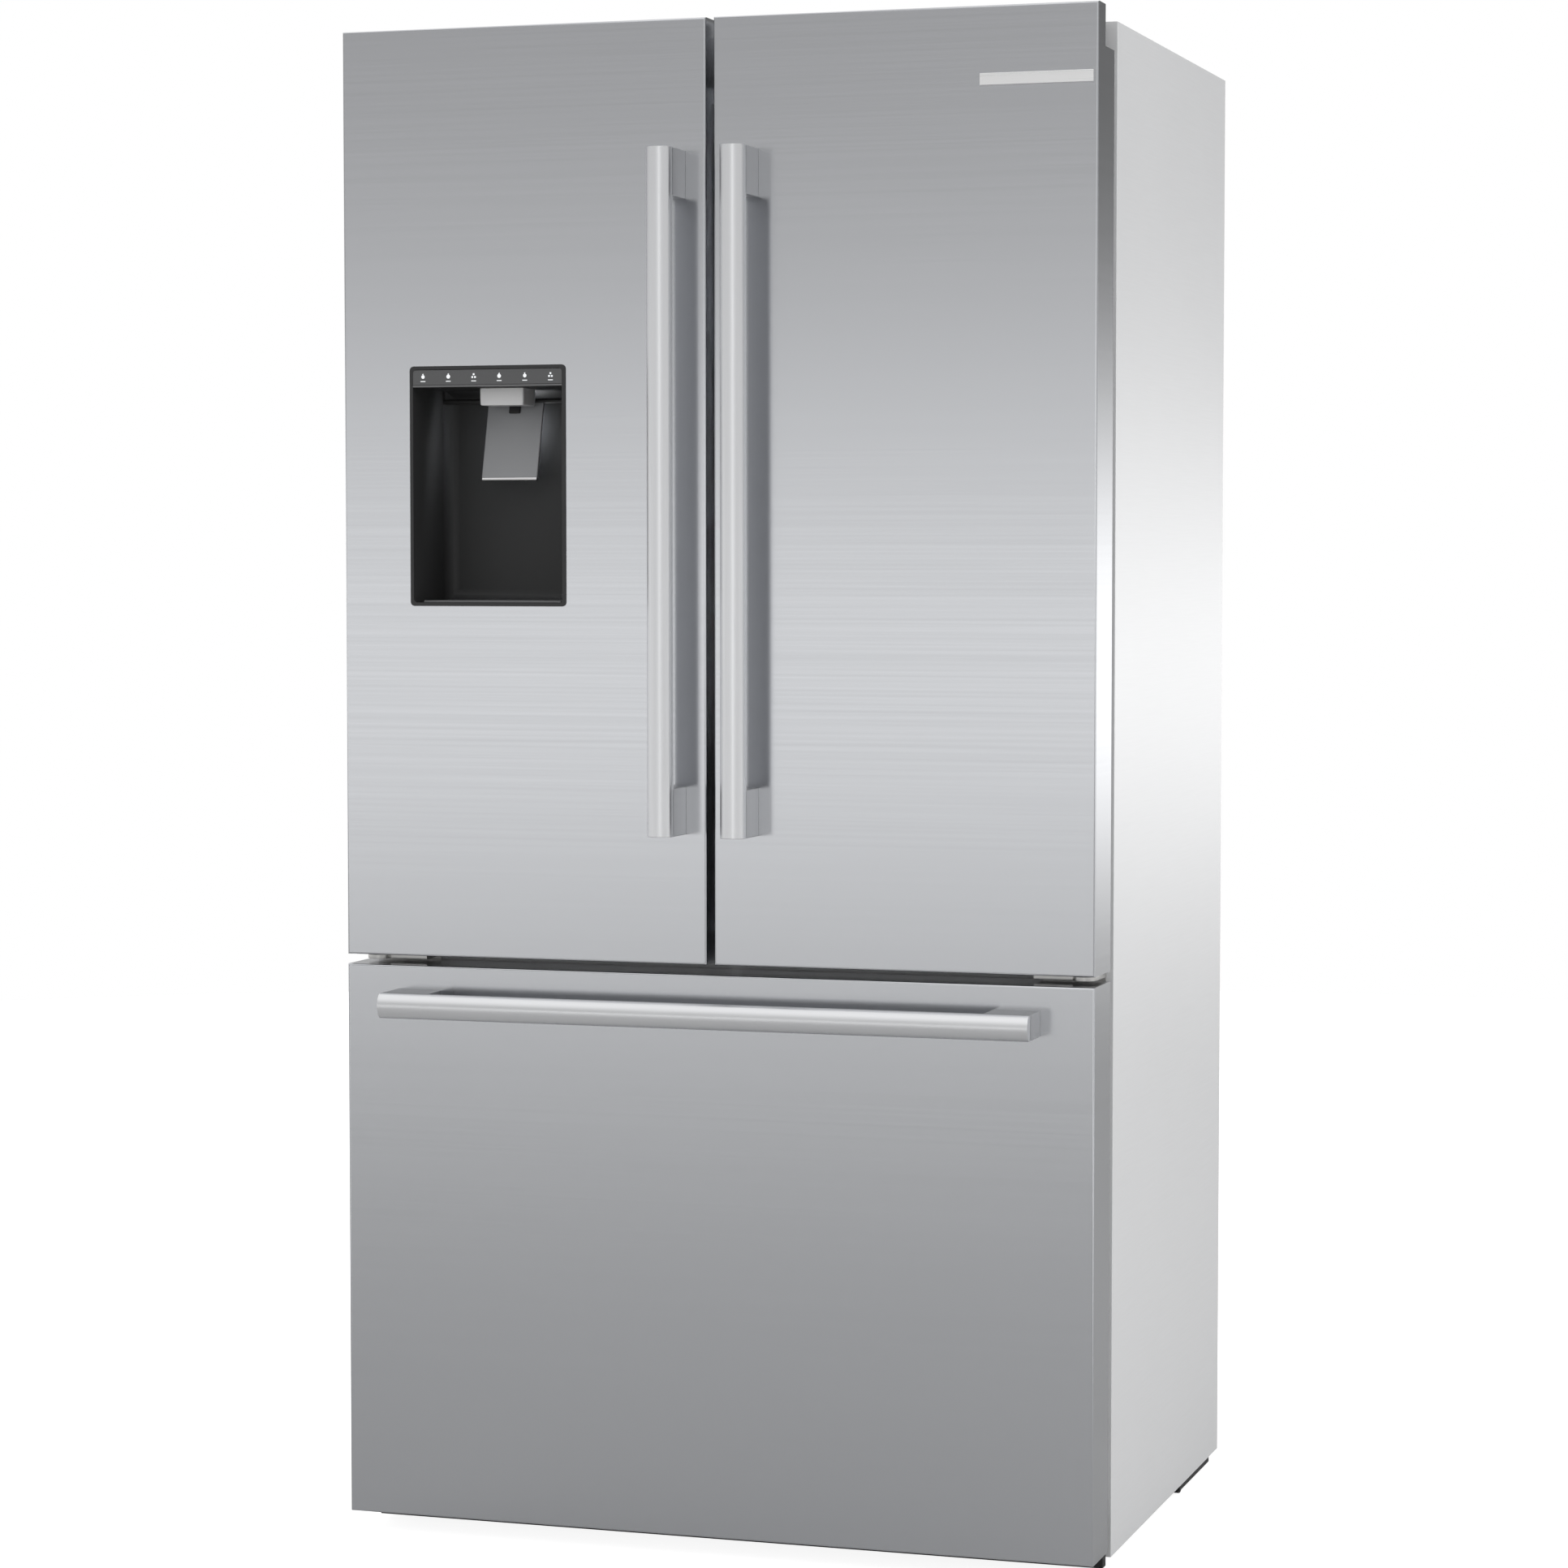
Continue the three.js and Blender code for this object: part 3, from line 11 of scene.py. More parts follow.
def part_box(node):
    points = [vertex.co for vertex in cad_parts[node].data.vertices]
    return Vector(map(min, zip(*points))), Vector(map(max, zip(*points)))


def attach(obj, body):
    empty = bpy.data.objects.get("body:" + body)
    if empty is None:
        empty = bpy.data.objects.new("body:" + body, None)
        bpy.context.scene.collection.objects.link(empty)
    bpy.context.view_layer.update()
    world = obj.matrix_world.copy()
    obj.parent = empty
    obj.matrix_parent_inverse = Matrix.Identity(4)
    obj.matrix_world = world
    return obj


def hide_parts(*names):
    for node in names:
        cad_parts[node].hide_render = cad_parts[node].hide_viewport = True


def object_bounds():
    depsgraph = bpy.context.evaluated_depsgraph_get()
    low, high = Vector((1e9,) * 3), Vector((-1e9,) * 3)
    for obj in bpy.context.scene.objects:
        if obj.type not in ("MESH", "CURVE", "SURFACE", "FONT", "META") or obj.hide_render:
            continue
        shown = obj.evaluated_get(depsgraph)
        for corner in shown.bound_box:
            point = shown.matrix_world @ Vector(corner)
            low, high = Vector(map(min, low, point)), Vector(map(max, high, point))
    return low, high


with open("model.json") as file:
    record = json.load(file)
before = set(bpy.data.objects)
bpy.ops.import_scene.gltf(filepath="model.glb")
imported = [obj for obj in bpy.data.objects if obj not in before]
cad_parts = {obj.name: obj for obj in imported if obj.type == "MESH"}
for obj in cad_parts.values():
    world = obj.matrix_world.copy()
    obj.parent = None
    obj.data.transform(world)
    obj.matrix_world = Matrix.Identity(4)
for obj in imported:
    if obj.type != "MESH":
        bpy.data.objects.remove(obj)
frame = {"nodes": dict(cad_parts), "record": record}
CAD_BOX = [list(corner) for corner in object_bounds()]
MM = 0.001
SIDES = {"left": -1, "right": 1}


# ---- Meshes ----

def finish_mesh(name, bm, material, body, sharp=35, stands_for=()):
    """Turns a bmesh into a piece that rides on a body."""
    bmesh.ops.recalc_face_normals(bm, faces=bm.faces)
    mesh = bpy.data.meshes.new(name)
    bm.to_mesh(mesh)
    bm.free()
    mesh.polygons.foreach_set("use_smooth", [True] * len(mesh.polygons))
    mesh.set_sharp_from_angle(angle=math.radians(sharp))
    piece = bpy.data.objects.new(name, mesh)
    bpy.context.scene.collection.objects.link(piece)
    mesh.materials.append(material)
    weighted = piece.modifiers.new("flat_faces_flat", "WEIGHTED_NORMAL")
    weighted.keep_sharp = True
    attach(piece, body)
    if stands_for:
        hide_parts(*stands_for)
    return piece


def edges_of(verts):
    """The edges that meet these vertices, each once and in the same order each run, as a set's isn't."""
    return list(dict.fromkeys(edge for vert in verts for edge in vert.link_edges))


def block(bm, lo, hi, radius=0.0, segments=3, choose=None):
    """Adds a box between two corners; the chosen edges (all by default) are rounded."""
    lo, hi = Vector(lo), Vector(hi)
    made = bmesh.ops.create_cube(bm, size=1.0)
    for vert in made["verts"]:
        vert.co = Vector(lo[i] if vert.co[i] < 0 else hi[i] for i in range(3))
    if radius:
        edges = [edge for edge in edges_of(made["verts"]) if choose is None or choose(edge)]
        bmesh.ops.bevel(bm, geom=edges, offset=radius, segments=segments, profile=0.5, affect="EDGES")
    return bm


def on_plane(axis, value):
    """Chooses the edges that lie in a plane."""
    return lambda edge: all(abs(vert.co[axis] - value) < 1e-6 for vert in edge.verts)


def along(axis):
    """Chooses the edges that run along an axis."""
    def test(edge):
        run = edge.verts[0].co - edge.verts[1].co
        return all(abs(run[i]) < 1e-6 for i in range(3) if i != axis)
    return test


def rod(bm, radius, start, end, sides=32, edge=0.0):
    """Adds a round bar between two points, with its end edges rounded by this much."""
    start, end = Vector(start), Vector(end)
    length = (end - start).length
    place = Matrix.Translation(start) @ (end - start).to_track_quat("Z", "Y").to_matrix().to_4x4()
    flat = math.cos(math.pi / sides)  # half its width across the flats, as a share of its radius
    rounding = [(edge * (1 - math.cos(turn)), edge * (1 - math.sin(turn)))
                for turn in (0, math.pi / 4, math.pi / 2)]
    profile = rounding + [(length - run, inset) for run, inset in reversed(rounding)]
    loops = []
    for run, inset in profile:
        size = radius - inset / flat
        turns = [2 * math.pi * k / sides for k in range(sides)]
        loops.append([place @ Vector((size * math.cos(turn), size * math.sin(turn), run)) for turn in turns])
    return loft(bm, loops)


def extrude(bm, outline, axis, low, high, edge=0.0):
    """Adds an outline of (u, v) points drawn out along an axis; u, v are the other two axes in order."""
    u_axis, v_axis = [i for i in range(3) if i != axis]

    def ring(level):
        points = []
        for u, v in outline:
            point = [0.0, 0.0, 0.0]
            point[u_axis], point[v_axis], point[axis] = u, v, level
            points.append(point)
        return points

    count = len(bm.verts)
    loft(bm, [ring(low), ring(high)])
    if edge:
        bmesh.ops.recalc_face_normals(bm, faces=bm.faces)  # a bevel goes wrong where faces point inwards
        rims = [e for e in edges_of(list(bm.verts)[count:])
                if abs(e.verts[0].co[axis] - e.verts[1].co[axis]) < 1e-9]
        bmesh.ops.bevel(bm, geom=rims, offset=edge, segments=2, profile=0.5, affect="EDGES")
    return bm


def rounded_loop(center, half, radius, steps=5):
    """Points round a rectangle with rounded corners, in its own plane."""
    points = []
    for quarter, (sx, sy) in enumerate(((1, 1), (-1, 1), (-1, -1), (1, -1))):
        for step in range(steps + 1):
            turn = math.radians(90 * (quarter + step / steps))
            points.append((center[0] + sx * (half[0] - radius) + radius * math.cos(turn),
                           center[1] + sy * (half[1] - radius) + radius * math.sin(turn)))
    return points


def loft(bm, loops):
    """Joins closed loops of the same number of points into a skin, and closes both its ends."""
    rings = [[bm.verts.new(point) for point in loop] for loop in loops]
    for low, high in zip(rings, rings[1:]):
        for i in range(len(low)):
            j = (i + 1) % len(low)
            bm.faces.new((low[i], low[j], high[j], high[i]))
    bm.faces.new(list(reversed(rings[0])))
    bm.faces.new(rings[-1])
    return bm


def carve(bm, *cutters):
    """Cuts closed shapes out of a closed shape."""
    def as_object(shape):
        bmesh.ops.recalc_face_normals(shape, faces=shape.faces)
        mesh = bpy.data.meshes.new("shape")
        shape.to_mesh(mesh)
        shape.free()
        thing = bpy.data.objects.new("shape", mesh)
        bpy.context.scene.collection.objects.link(thing)
        return thing

    whole = as_object(bm)
    tools = [as_object(cutter) for cutter in cutters]
    for tool in tools:
        cut = whole.modifiers.new("cut", "BOOLEAN")
        cut.operation = "DIFFERENCE"
        cut.solver = "EXACT"
        cut.object = tool
    bpy.context.view_layer.update()
    result = bmesh.new()
    result.from_object(whole, bpy.context.evaluated_depsgraph_get())
    for thing in [whole, *tools]:
        mesh = thing.data
        bpy.data.objects.remove(thing)
        bpy.data.meshes.remove(mesh)
    return result


def new_block(*args, **kwargs):
    """A shape that starts as one box, with the same arguments as block."""
    return block(bmesh.new(), *args, **kwargs)


# ---- Materials ----

def add(tree, kind, inputs=(), **settings):
    """Adds a shader node; an input's value is a number, a vector or another node's socket."""
    node = tree.nodes.new(kind)
    for key, value in settings.items():
        setattr(node, key, value)
    for key, value in dict(inputs).items():
        if isinstance(value, bpy.types.NodeSocket):
            tree.links.new(value, node.inputs[key])
        else:
            node.inputs[key].default_value = value
    return node


def noise(tree, stretch, detail=4.0, roughness=0.55):
    """Noise in the object's own coordinates, with this many cells a metre along each axis."""
    place = add(tree, "ShaderNodeTexCoord").outputs["Object"]
    scaled = add(tree, "ShaderNodeMapping", {"Vector": place, "Scale": stretch}).outputs["Vector"]
    made = add(tree, "ShaderNodeTexNoise", {"Vector": scaled, "Scale": 1.0, "Detail": detail,
                                            "Roughness": roughness})
    return made.outputs["Fac"]


def spread(tree, factor, low, high, start=0.3, end=0.7):
    """Maps a noise factor onto a range."""
    return add(tree, "ShaderNodeMapRange", {"Value": factor, "From Min": start, "From Max": end,
                                            "To Min": low, "To Max": high}).outputs["Result"]


def blend_colour(tree, factor, first, second):
    """Mixes two colours by a factor."""
    node = add(tree, "ShaderNodeMix", {"Factor": factor}, data_type="RGBA")
    for socket in node.inputs:
        if socket.type == "RGBA":
            socket.default_value = (*(first if socket.name == "A" else second), 1)
    return next(out for out in node.outputs if out.type == "RGBA")


def blend_factor(tree, share, first, second):
    """Mixes two noise factors, with this share of the second."""
    kept = add(tree, "ShaderNodeMath", {0: first, 1: 1.0 - share}, operation="MULTIPLY").outputs[0]
    return add(tree, "ShaderNodeMath", {0: second, 1: share, 2: kept}, operation="MULTIPLY_ADD").outputs[0]


def relief(tree, height, depth):
    """A bump from a height factor, this deep in metres."""
    bump = add(tree, "ShaderNodeBump", {"Height": height, "Strength": 1.0, "Distance": depth})
    return bump.outputs["Normal"]


def principled(name, **sockets):
    """A new material and its tree and shader, with constant values set on the shader."""
    material = bpy.data.materials.new(name)
    material.use_nodes = True
    tree = material.node_tree
    shader = tree.nodes["Principled BSDF"]
    for key, value in sockets.items():
        shader.inputs[key.replace("_", " ").title()].default_value = value
    return material, tree, shader


def shade(grey, warm=0.0):
    """A near-grey colour; warm above 0 leans to yellow, below 0 to blue."""
    return (grey * (1 + warm), grey, grey * (1 - 2.2 * warm))


def brushed(name, grey, warm, roughness, anisotropic, stretch, streak=0.03, depth=1.2e-6):
    """Brushed metal: long fine streaks in colour, gloss and relief, and highlights drawn across them."""
    material, tree, shader = principled(name, metallic=1.0, anisotropic=anisotropic,
                                        anisotropic_rotation=0.25)
    fine = noise(tree, stretch, 3.0, 0.6)
    broad = noise(tree, tuple(value / 9 for value in stretch), 2.0, 0.5)
    colour = blend_colour(tree, fine, shade(grey * (1 - streak), warm), shade(grey * (1 + streak), warm))
    tree.links.new(colour, shader.inputs["Base Color"])
    mottled = add(tree, "ShaderNodeMath", {0: fine, 1: broad}, operation="ADD").outputs[0]
    tree.links.new(spread(tree, mottled, roughness * 0.9, roughness * 1.12, 0.7, 1.3),
                   shader.inputs["Roughness"])
    tree.links.new(relief(tree, fine, depth), shader.inputs["Normal"])
    tangent = add(tree, "ShaderNodeTangent", direction_type="RADIAL", axis="Z").outputs[0]
    tree.links.new(tangent, shader.inputs["Tangent"])
    return material


def moulded(name, grey, warm, roughness, texture=900.0, depth=4e-6, mottle=0.0, **sockets):
    """Moulded plastic or paint: a fine even texture, with slow drifts in colour and gloss."""
    material, tree, shader = principled(name, **sockets)
    grain = noise(tree, texture if isinstance(texture, tuple) else (texture,) * 3, 2.0, 0.5)
    drift = noise(tree, (3.0,) * 3, 3.0, 0.5)
    if mottle:
        drift = blend_factor(tree, mottle, drift, grain)
    colour = blend_colour(tree, drift, shade(grey * 0.975, warm), shade(grey * 1.025, warm))
    tree.links.new(colour, shader.inputs["Base Color"])
    tree.links.new(spread(tree, drift, roughness * 0.92, roughness * 1.08), shader.inputs["Roughness"])
    tree.links.new(relief(tree, grain, depth), shader.inputs["Normal"])
    return material


def glowing(name, colour, strength):
    """A lit lens with a slightly uneven brightness."""
    material, tree, shader = principled(name, roughness=0.4, emission_strength=strength)
    drift = noise(tree, (60.0,) * 3, 2.0)
    low = tuple(value * 0.92 for value in colour)
    tree.links.new(blend_colour(tree, drift, low, colour), shader.inputs["Emission Color"])
    return material


STEEL = brushed("door_steel", grey=0.63, warm=-0.016, roughness=0.17, anisotropic=0.5,
                stretch=(6.0, 6.0, 2600.0), streak=0.008, depth=3e-7)
HANDLE_STEEL = brushed("handle_steel", grey=0.82, warm=-0.008, roughness=0.33, anisotropic=0.1,
                       stretch=(1500.0, 1500.0, 10.0), streak=0.006, depth=2e-7)
BAR_STEEL = brushed("drawer_handle_steel", grey=0.82, warm=-0.008, roughness=0.33, anisotropic=0.1,
                    stretch=(10.0, 1500.0, 1500.0), streak=0.006, depth=2e-7)
# The same steel as the bars, made darker: painted shade on the handle posts.
POST_STEEL_PAINTED_SHADE = brushed("handle_post_steel_painted_shade", grey=0.60, warm=-0.008, roughness=0.34, anisotropic=0.1,
                     stretch=(1500.0, 1500.0, 10.0), streak=0.006, depth=2e-7)
BADGE_STEEL = brushed("badge_steel", grey=0.95, warm=0.0, roughness=0.3, anisotropic=0.0,
                      stretch=(8.0, 900.0, 900.0), streak=0.01, depth=3e-7)
SIDE_SHEET = moulded("side_sheet", grey=0.70, warm=-0.006, roughness=0.24, texture=(9.0, 9.0, 700.0),
                     depth=1.2e-6, mottle=0.5)
ZINC = moulded("zinc_plate", grey=0.62, warm=0.01, roughness=0.35, texture=300.0, depth=3e-6, metallic=1.0)
WHITE = moulded("white_liner", grey=0.80, warm=-0.004, roughness=0.35)
GREY = moulded("grey_plastic", grey=0.55, warm=-0.004, roughness=0.42)
CHUTE_GREY = moulded("chute_plastic", grey=0.86, warm=0.0, roughness=0.35)
LEVER_GREY = moulded("lever_plastic", grey=0.30, warm=-0.015, roughness=0.36)
DARK = moulded("dark_plastic", grey=0.026, warm=-0.01, roughness=0.6)
PANEL = moulded("panel_plastic", grey=0.085, warm=-0.01, roughness=0.28, texture=1500.0, depth=1e-6)
LIP = moulded("lip_plastic", grey=0.14, warm=-0.01, roughness=0.35)
BLACK = moulded("black_plastic", grey=0.018, warm=0.0, roughness=0.5)
# Grey rubber made darker than such seals are: partly the seal's own colour, partly painted shade of the gaps
# round the doors.
RUBBER_AND_GAP_SHADE = moulded("seal_rubber", grey=0.24, warm=0.0, roughness=0.55)
BLACK_SHEET = moulded("black_sheet", grey=0.03, warm=0.0, roughness=0.5, metallic=0.3)
CHROME = moulded("chrome_strip", grey=0.85, warm=0.0, roughness=0.12, texture=200.0, depth=1e-6,
                 metallic=1.0)
FINS = moulded("fin_aluminium", grey=0.7, warm=0.0, roughness=0.4, texture=500.0, depth=4e-6, metallic=1.0)
GLASS = moulded("shelf_glass", grey=0.80, warm=-0.01, roughness=0.05, texture=30.0, depth=1e-6, alpha=0.22)
CLEAR = moulded("clear_plastic", grey=0.86, warm=-0.008, roughness=0.1, texture=200.0, depth=2e-6,
                alpha=0.34)
ICON = glowing("icon_light", colour=(0.75, 0.8, 0.85), strength=0.42)
LAMP = glowing("lamp_light", colour=(0.97, 0.98, 1.0), strength=20.0)
GLOW = glowing("recess_glow", colour=(0.95, 0.97, 1.0), strength=30.0)


# ---- Front panels ----

SKIN = 1.2 * MM
EDGE = 2.4 * MM  # fold radius of the panels' front edges
NOTCH = Vector((52.5 * MM, 32 * MM, 46 * MM))  # the top hinge's: across, behind the front and down
NOTCH_PAST = 5 * MM  # its cutter's reach past the door's outer edge
HOLE_INSET = 1.2 * MM  # the dispenser's rim laps over the edge of its hole by this much
HOLE_DEPTH = 3 * MM


def front_panel(node, body, *cutters):
    """A folded steel front, open behind, with rounded front edges."""
    lo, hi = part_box(node)
    shell = new_block(lo, hi, EDGE, 4, on_plane(1, lo.y))
    inside = new_block(lo + Vector((SKIN, SKIN, SKIN)), hi + Vector((-SKIN, MM, -SKIN)))
    return finish_mesh(f"{node}_skin", carve(shell, inside, *cutters), STEEL, body,
                       stands_for=(node,))


def hinge_notch(node):
    """The shape cut from a door's top corner, behind its front, for the top hinge."""
    lo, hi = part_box(node)
    side = SIDES[node.split("_")[0]]
    outer = hi.x if side > 0 else lo.x
    near = (outer - side * NOTCH.x, lo.y + NOTCH.y, hi.z - NOTCH.z)
    far = (outer + side * NOTCH_PAST, hi.y + MM, hi.z + MM)
    return new_block([min(ends) for ends in zip(near, far)], [max(ends) for ends in zip(near, far)])


def dispenser_hole():
    """The shape cut from the left door's front for the dispenser."""
    lo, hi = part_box("dispenser_housing")
    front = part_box("left_door_panel")[0].y
    return new_block((lo.x + HOLE_INSET, lo.y, lo.z + HOLE_INSET),
                     (hi.x - HOLE_INSET, front + HOLE_DEPTH, hi.z - HOLE_INSET))


front_panel("right_door_panel", "right_door", hinge_notch("right_door_panel"))
front_panel("freezer_front_panel", "drawer")
front_panel("left_door_panel", "left_door", hinge_notch("left_door_panel"), dispenser_hole())


# ---- Handles ----

def handle(node, body, along_axis, material):
    """A bar with a crowned front on two posts, each as wide as the bar and flush with its end."""
    lo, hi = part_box(node)
    across_axis = 2 if along_axis == 0 else 0
    middle = (lo[across_axis] + hi[across_axis]) / 2
    half = (hi[across_axis] - lo[across_axis]) / 2
    crown, side, post, fillet = 7.5 * MM, 9 * MM, 55 * MM, 1.1 * MM
    crown_steps, corner_steps = 28, 4
    end_edge, sunk = 0.7 * MM, 2 * MM  # the bar's end edges; the posts' reach into the bar
    radius = (half * half + crown * crown) / (2 * crown)
    reach = math.asin((half - fillet) / radius)
    back = lo.y + crown + side
    outline = []
    for step in range(crown_steps + 1):
        turn = -reach + 2 * reach * step / crown_steps
        outline.append((middle + radius * math.sin(turn), lo.y + radius * (1 - math.cos(turn))))
    for across, deep, start, sweep in ((half - fillet, lo.y + crown + fillet, -40, 40),
                                       (half - fillet, back - fillet, 0, 90),
                                       (-half + fillet, back - fillet, 90, 90),
                                       (-half + fillet, lo.y + crown + fillet, 180, 40)):
        for step in range(corner_steps + 1):
            turn = math.radians(start + sweep * step / corner_steps)
            outline.append((middle + across + fillet * math.cos(turn), deep + fillet * math.sin(turn)))
    if along_axis == 0:
        outline = [(y, z) for z, y in outline]
    bm = bmesh.new()
    extrude(bm, outline, along_axis, lo[along_axis], hi[along_axis], end_edge)
    posts = bmesh.new()
    for start, end in ((lo[along_axis], lo[along_axis] + post), (hi[along_axis] - post, hi[along_axis])):
        low, high = Vector((0, back - sunk, 0)), Vector((0, hi.y, 0))
        low[along_axis], high[along_axis] = start, end
        low[across_axis], high[across_axis] = middle - half, middle + half
        block(posts, low, high, fillet, 3, along(1))
    # The posts are drawn in the darker steel, which is painted shade.
    finish_mesh(f"{node}_posts", posts, POST_STEEL_PAINTED_SHADE, body)
    return finish_mesh(f"{node}_bar", bm, material, body, stands_for=(node,))


def badge():
    """A blank raised plate."""
    lo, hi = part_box("badge_plate")
    finish_mesh("badge_blank", new_block(lo, hi, 0.6 * MM, 3), BADGE_STEEL, "right_door",
                stands_for=("badge_plate",))


handle("left_door_handle", "left_door", 2, HANDLE_STEEL)
handle("right_door_handle", "right_door", 2, HANDLE_STEEL)
handle("freezer_handle", "drawer", 0, BAR_STEEL)
badge()


# ---- Dispenser ----

def dispenser():
    """A rounded rim round a deep tub, with a marked strip, a chute, a hidden lamp and a drip tray."""
    lo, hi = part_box("dispenser_housing")
    rim, wall, rim_depth = 4 * MM, 2.5 * MM, 2.3 * MM
    strip_lo, strip_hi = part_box("dispenser_panel")
    outer = new_block(lo, (hi.x, lo.y + rim_depth, hi.z), 5 * MM, 5, along(1))
    inner = new_block((lo.x + rim, lo.y - MM, lo.z + rim), (hi.x - rim, lo.y + 9 * MM, hi.z - rim),
                      4 * MM, 4, along(1))
    finish_mesh("dispenser_rim", carve(outer, inner), DARK, "left_door",
                stands_for=("dispenser_housing",))
    tub_lo = Vector((lo.x + rim - wall, lo.y + rim_depth, lo.z + rim - wall))
    tub_hi = Vector((hi.x - rim + wall, hi.y, strip_lo.z + wall))
    room_lo = tub_lo + Vector((wall, -9 * MM, wall))
    room_hi = tub_hi - Vector((wall, wall, wall))
    room = new_block(room_lo, room_hi, 16 * MM, 8, on_plane(1, room_hi.y))
    finish_mesh("dispenser_tub", carve(new_block(tub_lo, tub_hi), room), DARK, "left_door")
    strip = new_block(strip_lo + Vector((0, 0.4 * MM, 2.4 * MM)), strip_hi, 0.6 * MM, 3)
    finish_mesh("dispenser_strip", strip, PANEL, "left_door",
                stands_for=("dispenser_panel",))
    lip_hi = (strip_hi.x, strip_lo.y + 6 * MM, strip_lo.z + 2.2 * MM)
    finish_mesh("dispenser_lip", new_block(strip_lo, lip_hi, 0.8 * MM, 3), LIP, "left_door")
    chute_lo, chute_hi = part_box("dispenser_chute")
    middle, half = (chute_lo + chute_hi) / 2, (chute_hi - chute_lo) / 2
    loops = []
    # Up the chute, as a share of its height, and how much narrower it is there: its mouth is eased.
    for share, narrow in ((1.0, 0.0), (0.5, 0.0), (0.06, 0.3 * MM), (0.0, 1.2 * MM)):
        height = chute_lo.z + share * (chute_hi.z - chute_lo.z)
        loop = rounded_loop((middle.x, middle.y), (half.x - narrow, half.y - narrow), 2.2 * MM)
        loops.append([(x, y, height) for x, y in loop])
    finish_mesh("dispenser_spout", loft(bmesh.new(), loops), CHUTE_GREY, "left_door",
                stands_for=("dispenser_chute",))
    glow = new_block((middle.x - 12 * MM, room_hi.y - 1.2 * MM, chute_lo.z - 46 * MM),
                     (middle.x + 20 * MM, room_hi.y + 0.4 * MM, chute_lo.z - 8 * MM), 0.5 * MM, 2)
    finish_mesh("recess_lamp", glow, GLOW, "left_door")
    slats = bmesh.new()
    count, inset, front_space, both_spaces = 9, 7 * MM, 20 * MM, 34 * MM
    for i in range(count):
        y = room_lo.y + front_space + i * (room_hi.y - room_lo.y - both_spaces) / (count - 1)
        block(slats, (room_lo.x + inset, y, room_lo.z), (room_hi.x - inset, y + 4 * MM, room_lo.z + 2.4 * MM),
              0.7 * MM, 2)
    finish_mesh("drip_slats", slats, LIP, "left_door")


def paddle():
    """The dispenser's lever: a tilted plate on a pin, with a bright foot and a small nozzle."""
    lo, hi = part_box("dispenser_lever")
    joint = next(row for row in frame["record"]["behaviour"]["joints"] if row["name"] == "lever_pivot")
    pivot = Vector(joint["pos_m"])
    half, length, thick, tilt = 35 * MM, 97 * MM, 4 * MM, math.radians(14.4)
    turn = Matrix.Translation(pivot) @ Matrix.Rotation(-tilt, 4, "X")

    def tilted(name, low, high, radius, material):
        bm = new_block(low, high, radius, 3)
        bmesh.ops.transform(bm, matrix=turn, verts=bm.verts)
        finish_mesh(name, bm, material, "lever",
                    stands_for=("dispenser_lever",) if name == "lever_paddle" else ())

    tilted("lever_paddle", (-half, -thick / 2, -length), (half, thick / 2, -2 * MM), 1.4 * MM, LEVER_GREY)
    tilted("lever_foot", (-half, -thick / 2 - 0.4 * MM, -length), (half, thick / 2, -length + 4 * MM),
           1.2 * MM, CHROME)
    tilted("lever_nozzle", (-7 * MM, -thick / 2 - 3 * MM, -16 * MM), (7 * MM, -thick / 2, -3 * MM),
           1.4 * MM, BLACK)
    pin = rod(bmesh.new(), 3 * MM, (lo.x, pivot.y, pivot.z), (hi.x, pivot.y, pivot.z), 24, 0.5 * MM)
    finish_mesh("lever_pin", pin, BLACK, "lever")


def icons():
    """Six small lit marks that mean nothing in particular, each over a short bar."""
    strip_lo, strip_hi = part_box("dispenser_panel")
    front, thick = strip_lo.y + 0.4 * MM, 0.14 * MM
    count, high = 6, strip_lo.z + 12.8 * MM
    bm = bmesh.new()

    def mark(x, z, size, sides):
        loop = [(x + size * math.cos(2 * math.pi * (k + 0.5) / sides),
                 z + size * math.sin(2 * math.pi * (k + 0.5) / sides)) for k in range(sides)]
        extrude(bm, loop, 1, front - thick, front + thick)

    for i in range(count):
        x = strip_lo.x + 13.4 * MM + i * (strip_hi.x - strip_lo.x - 28 * MM) / (count - 1)
        if i % 3 == 2:
            for dx, dz in ((-1.7, -1.5), (1.7, -1.5), (0.0, 1.7)):
                mark(x + dx * MM, high + dz * MM, 1.5 * MM, 4)
        else:
            mark(x, high - 0.6 * MM, 2.3 * MM, 24 if i % 2 else 6)
            mark(x, high + 2.2 * MM, 1.2 * MM, 3)
        block(bm, (x - 3 * MM, front - thick, high - 6.4 * MM), (x + 3 * MM, front + thick, high - 5.5 * MM))
    finish_mesh("strip_marks", bm, ICON, "left_door")


dispenser()
paddle()
icons()


# ---- Seals ----

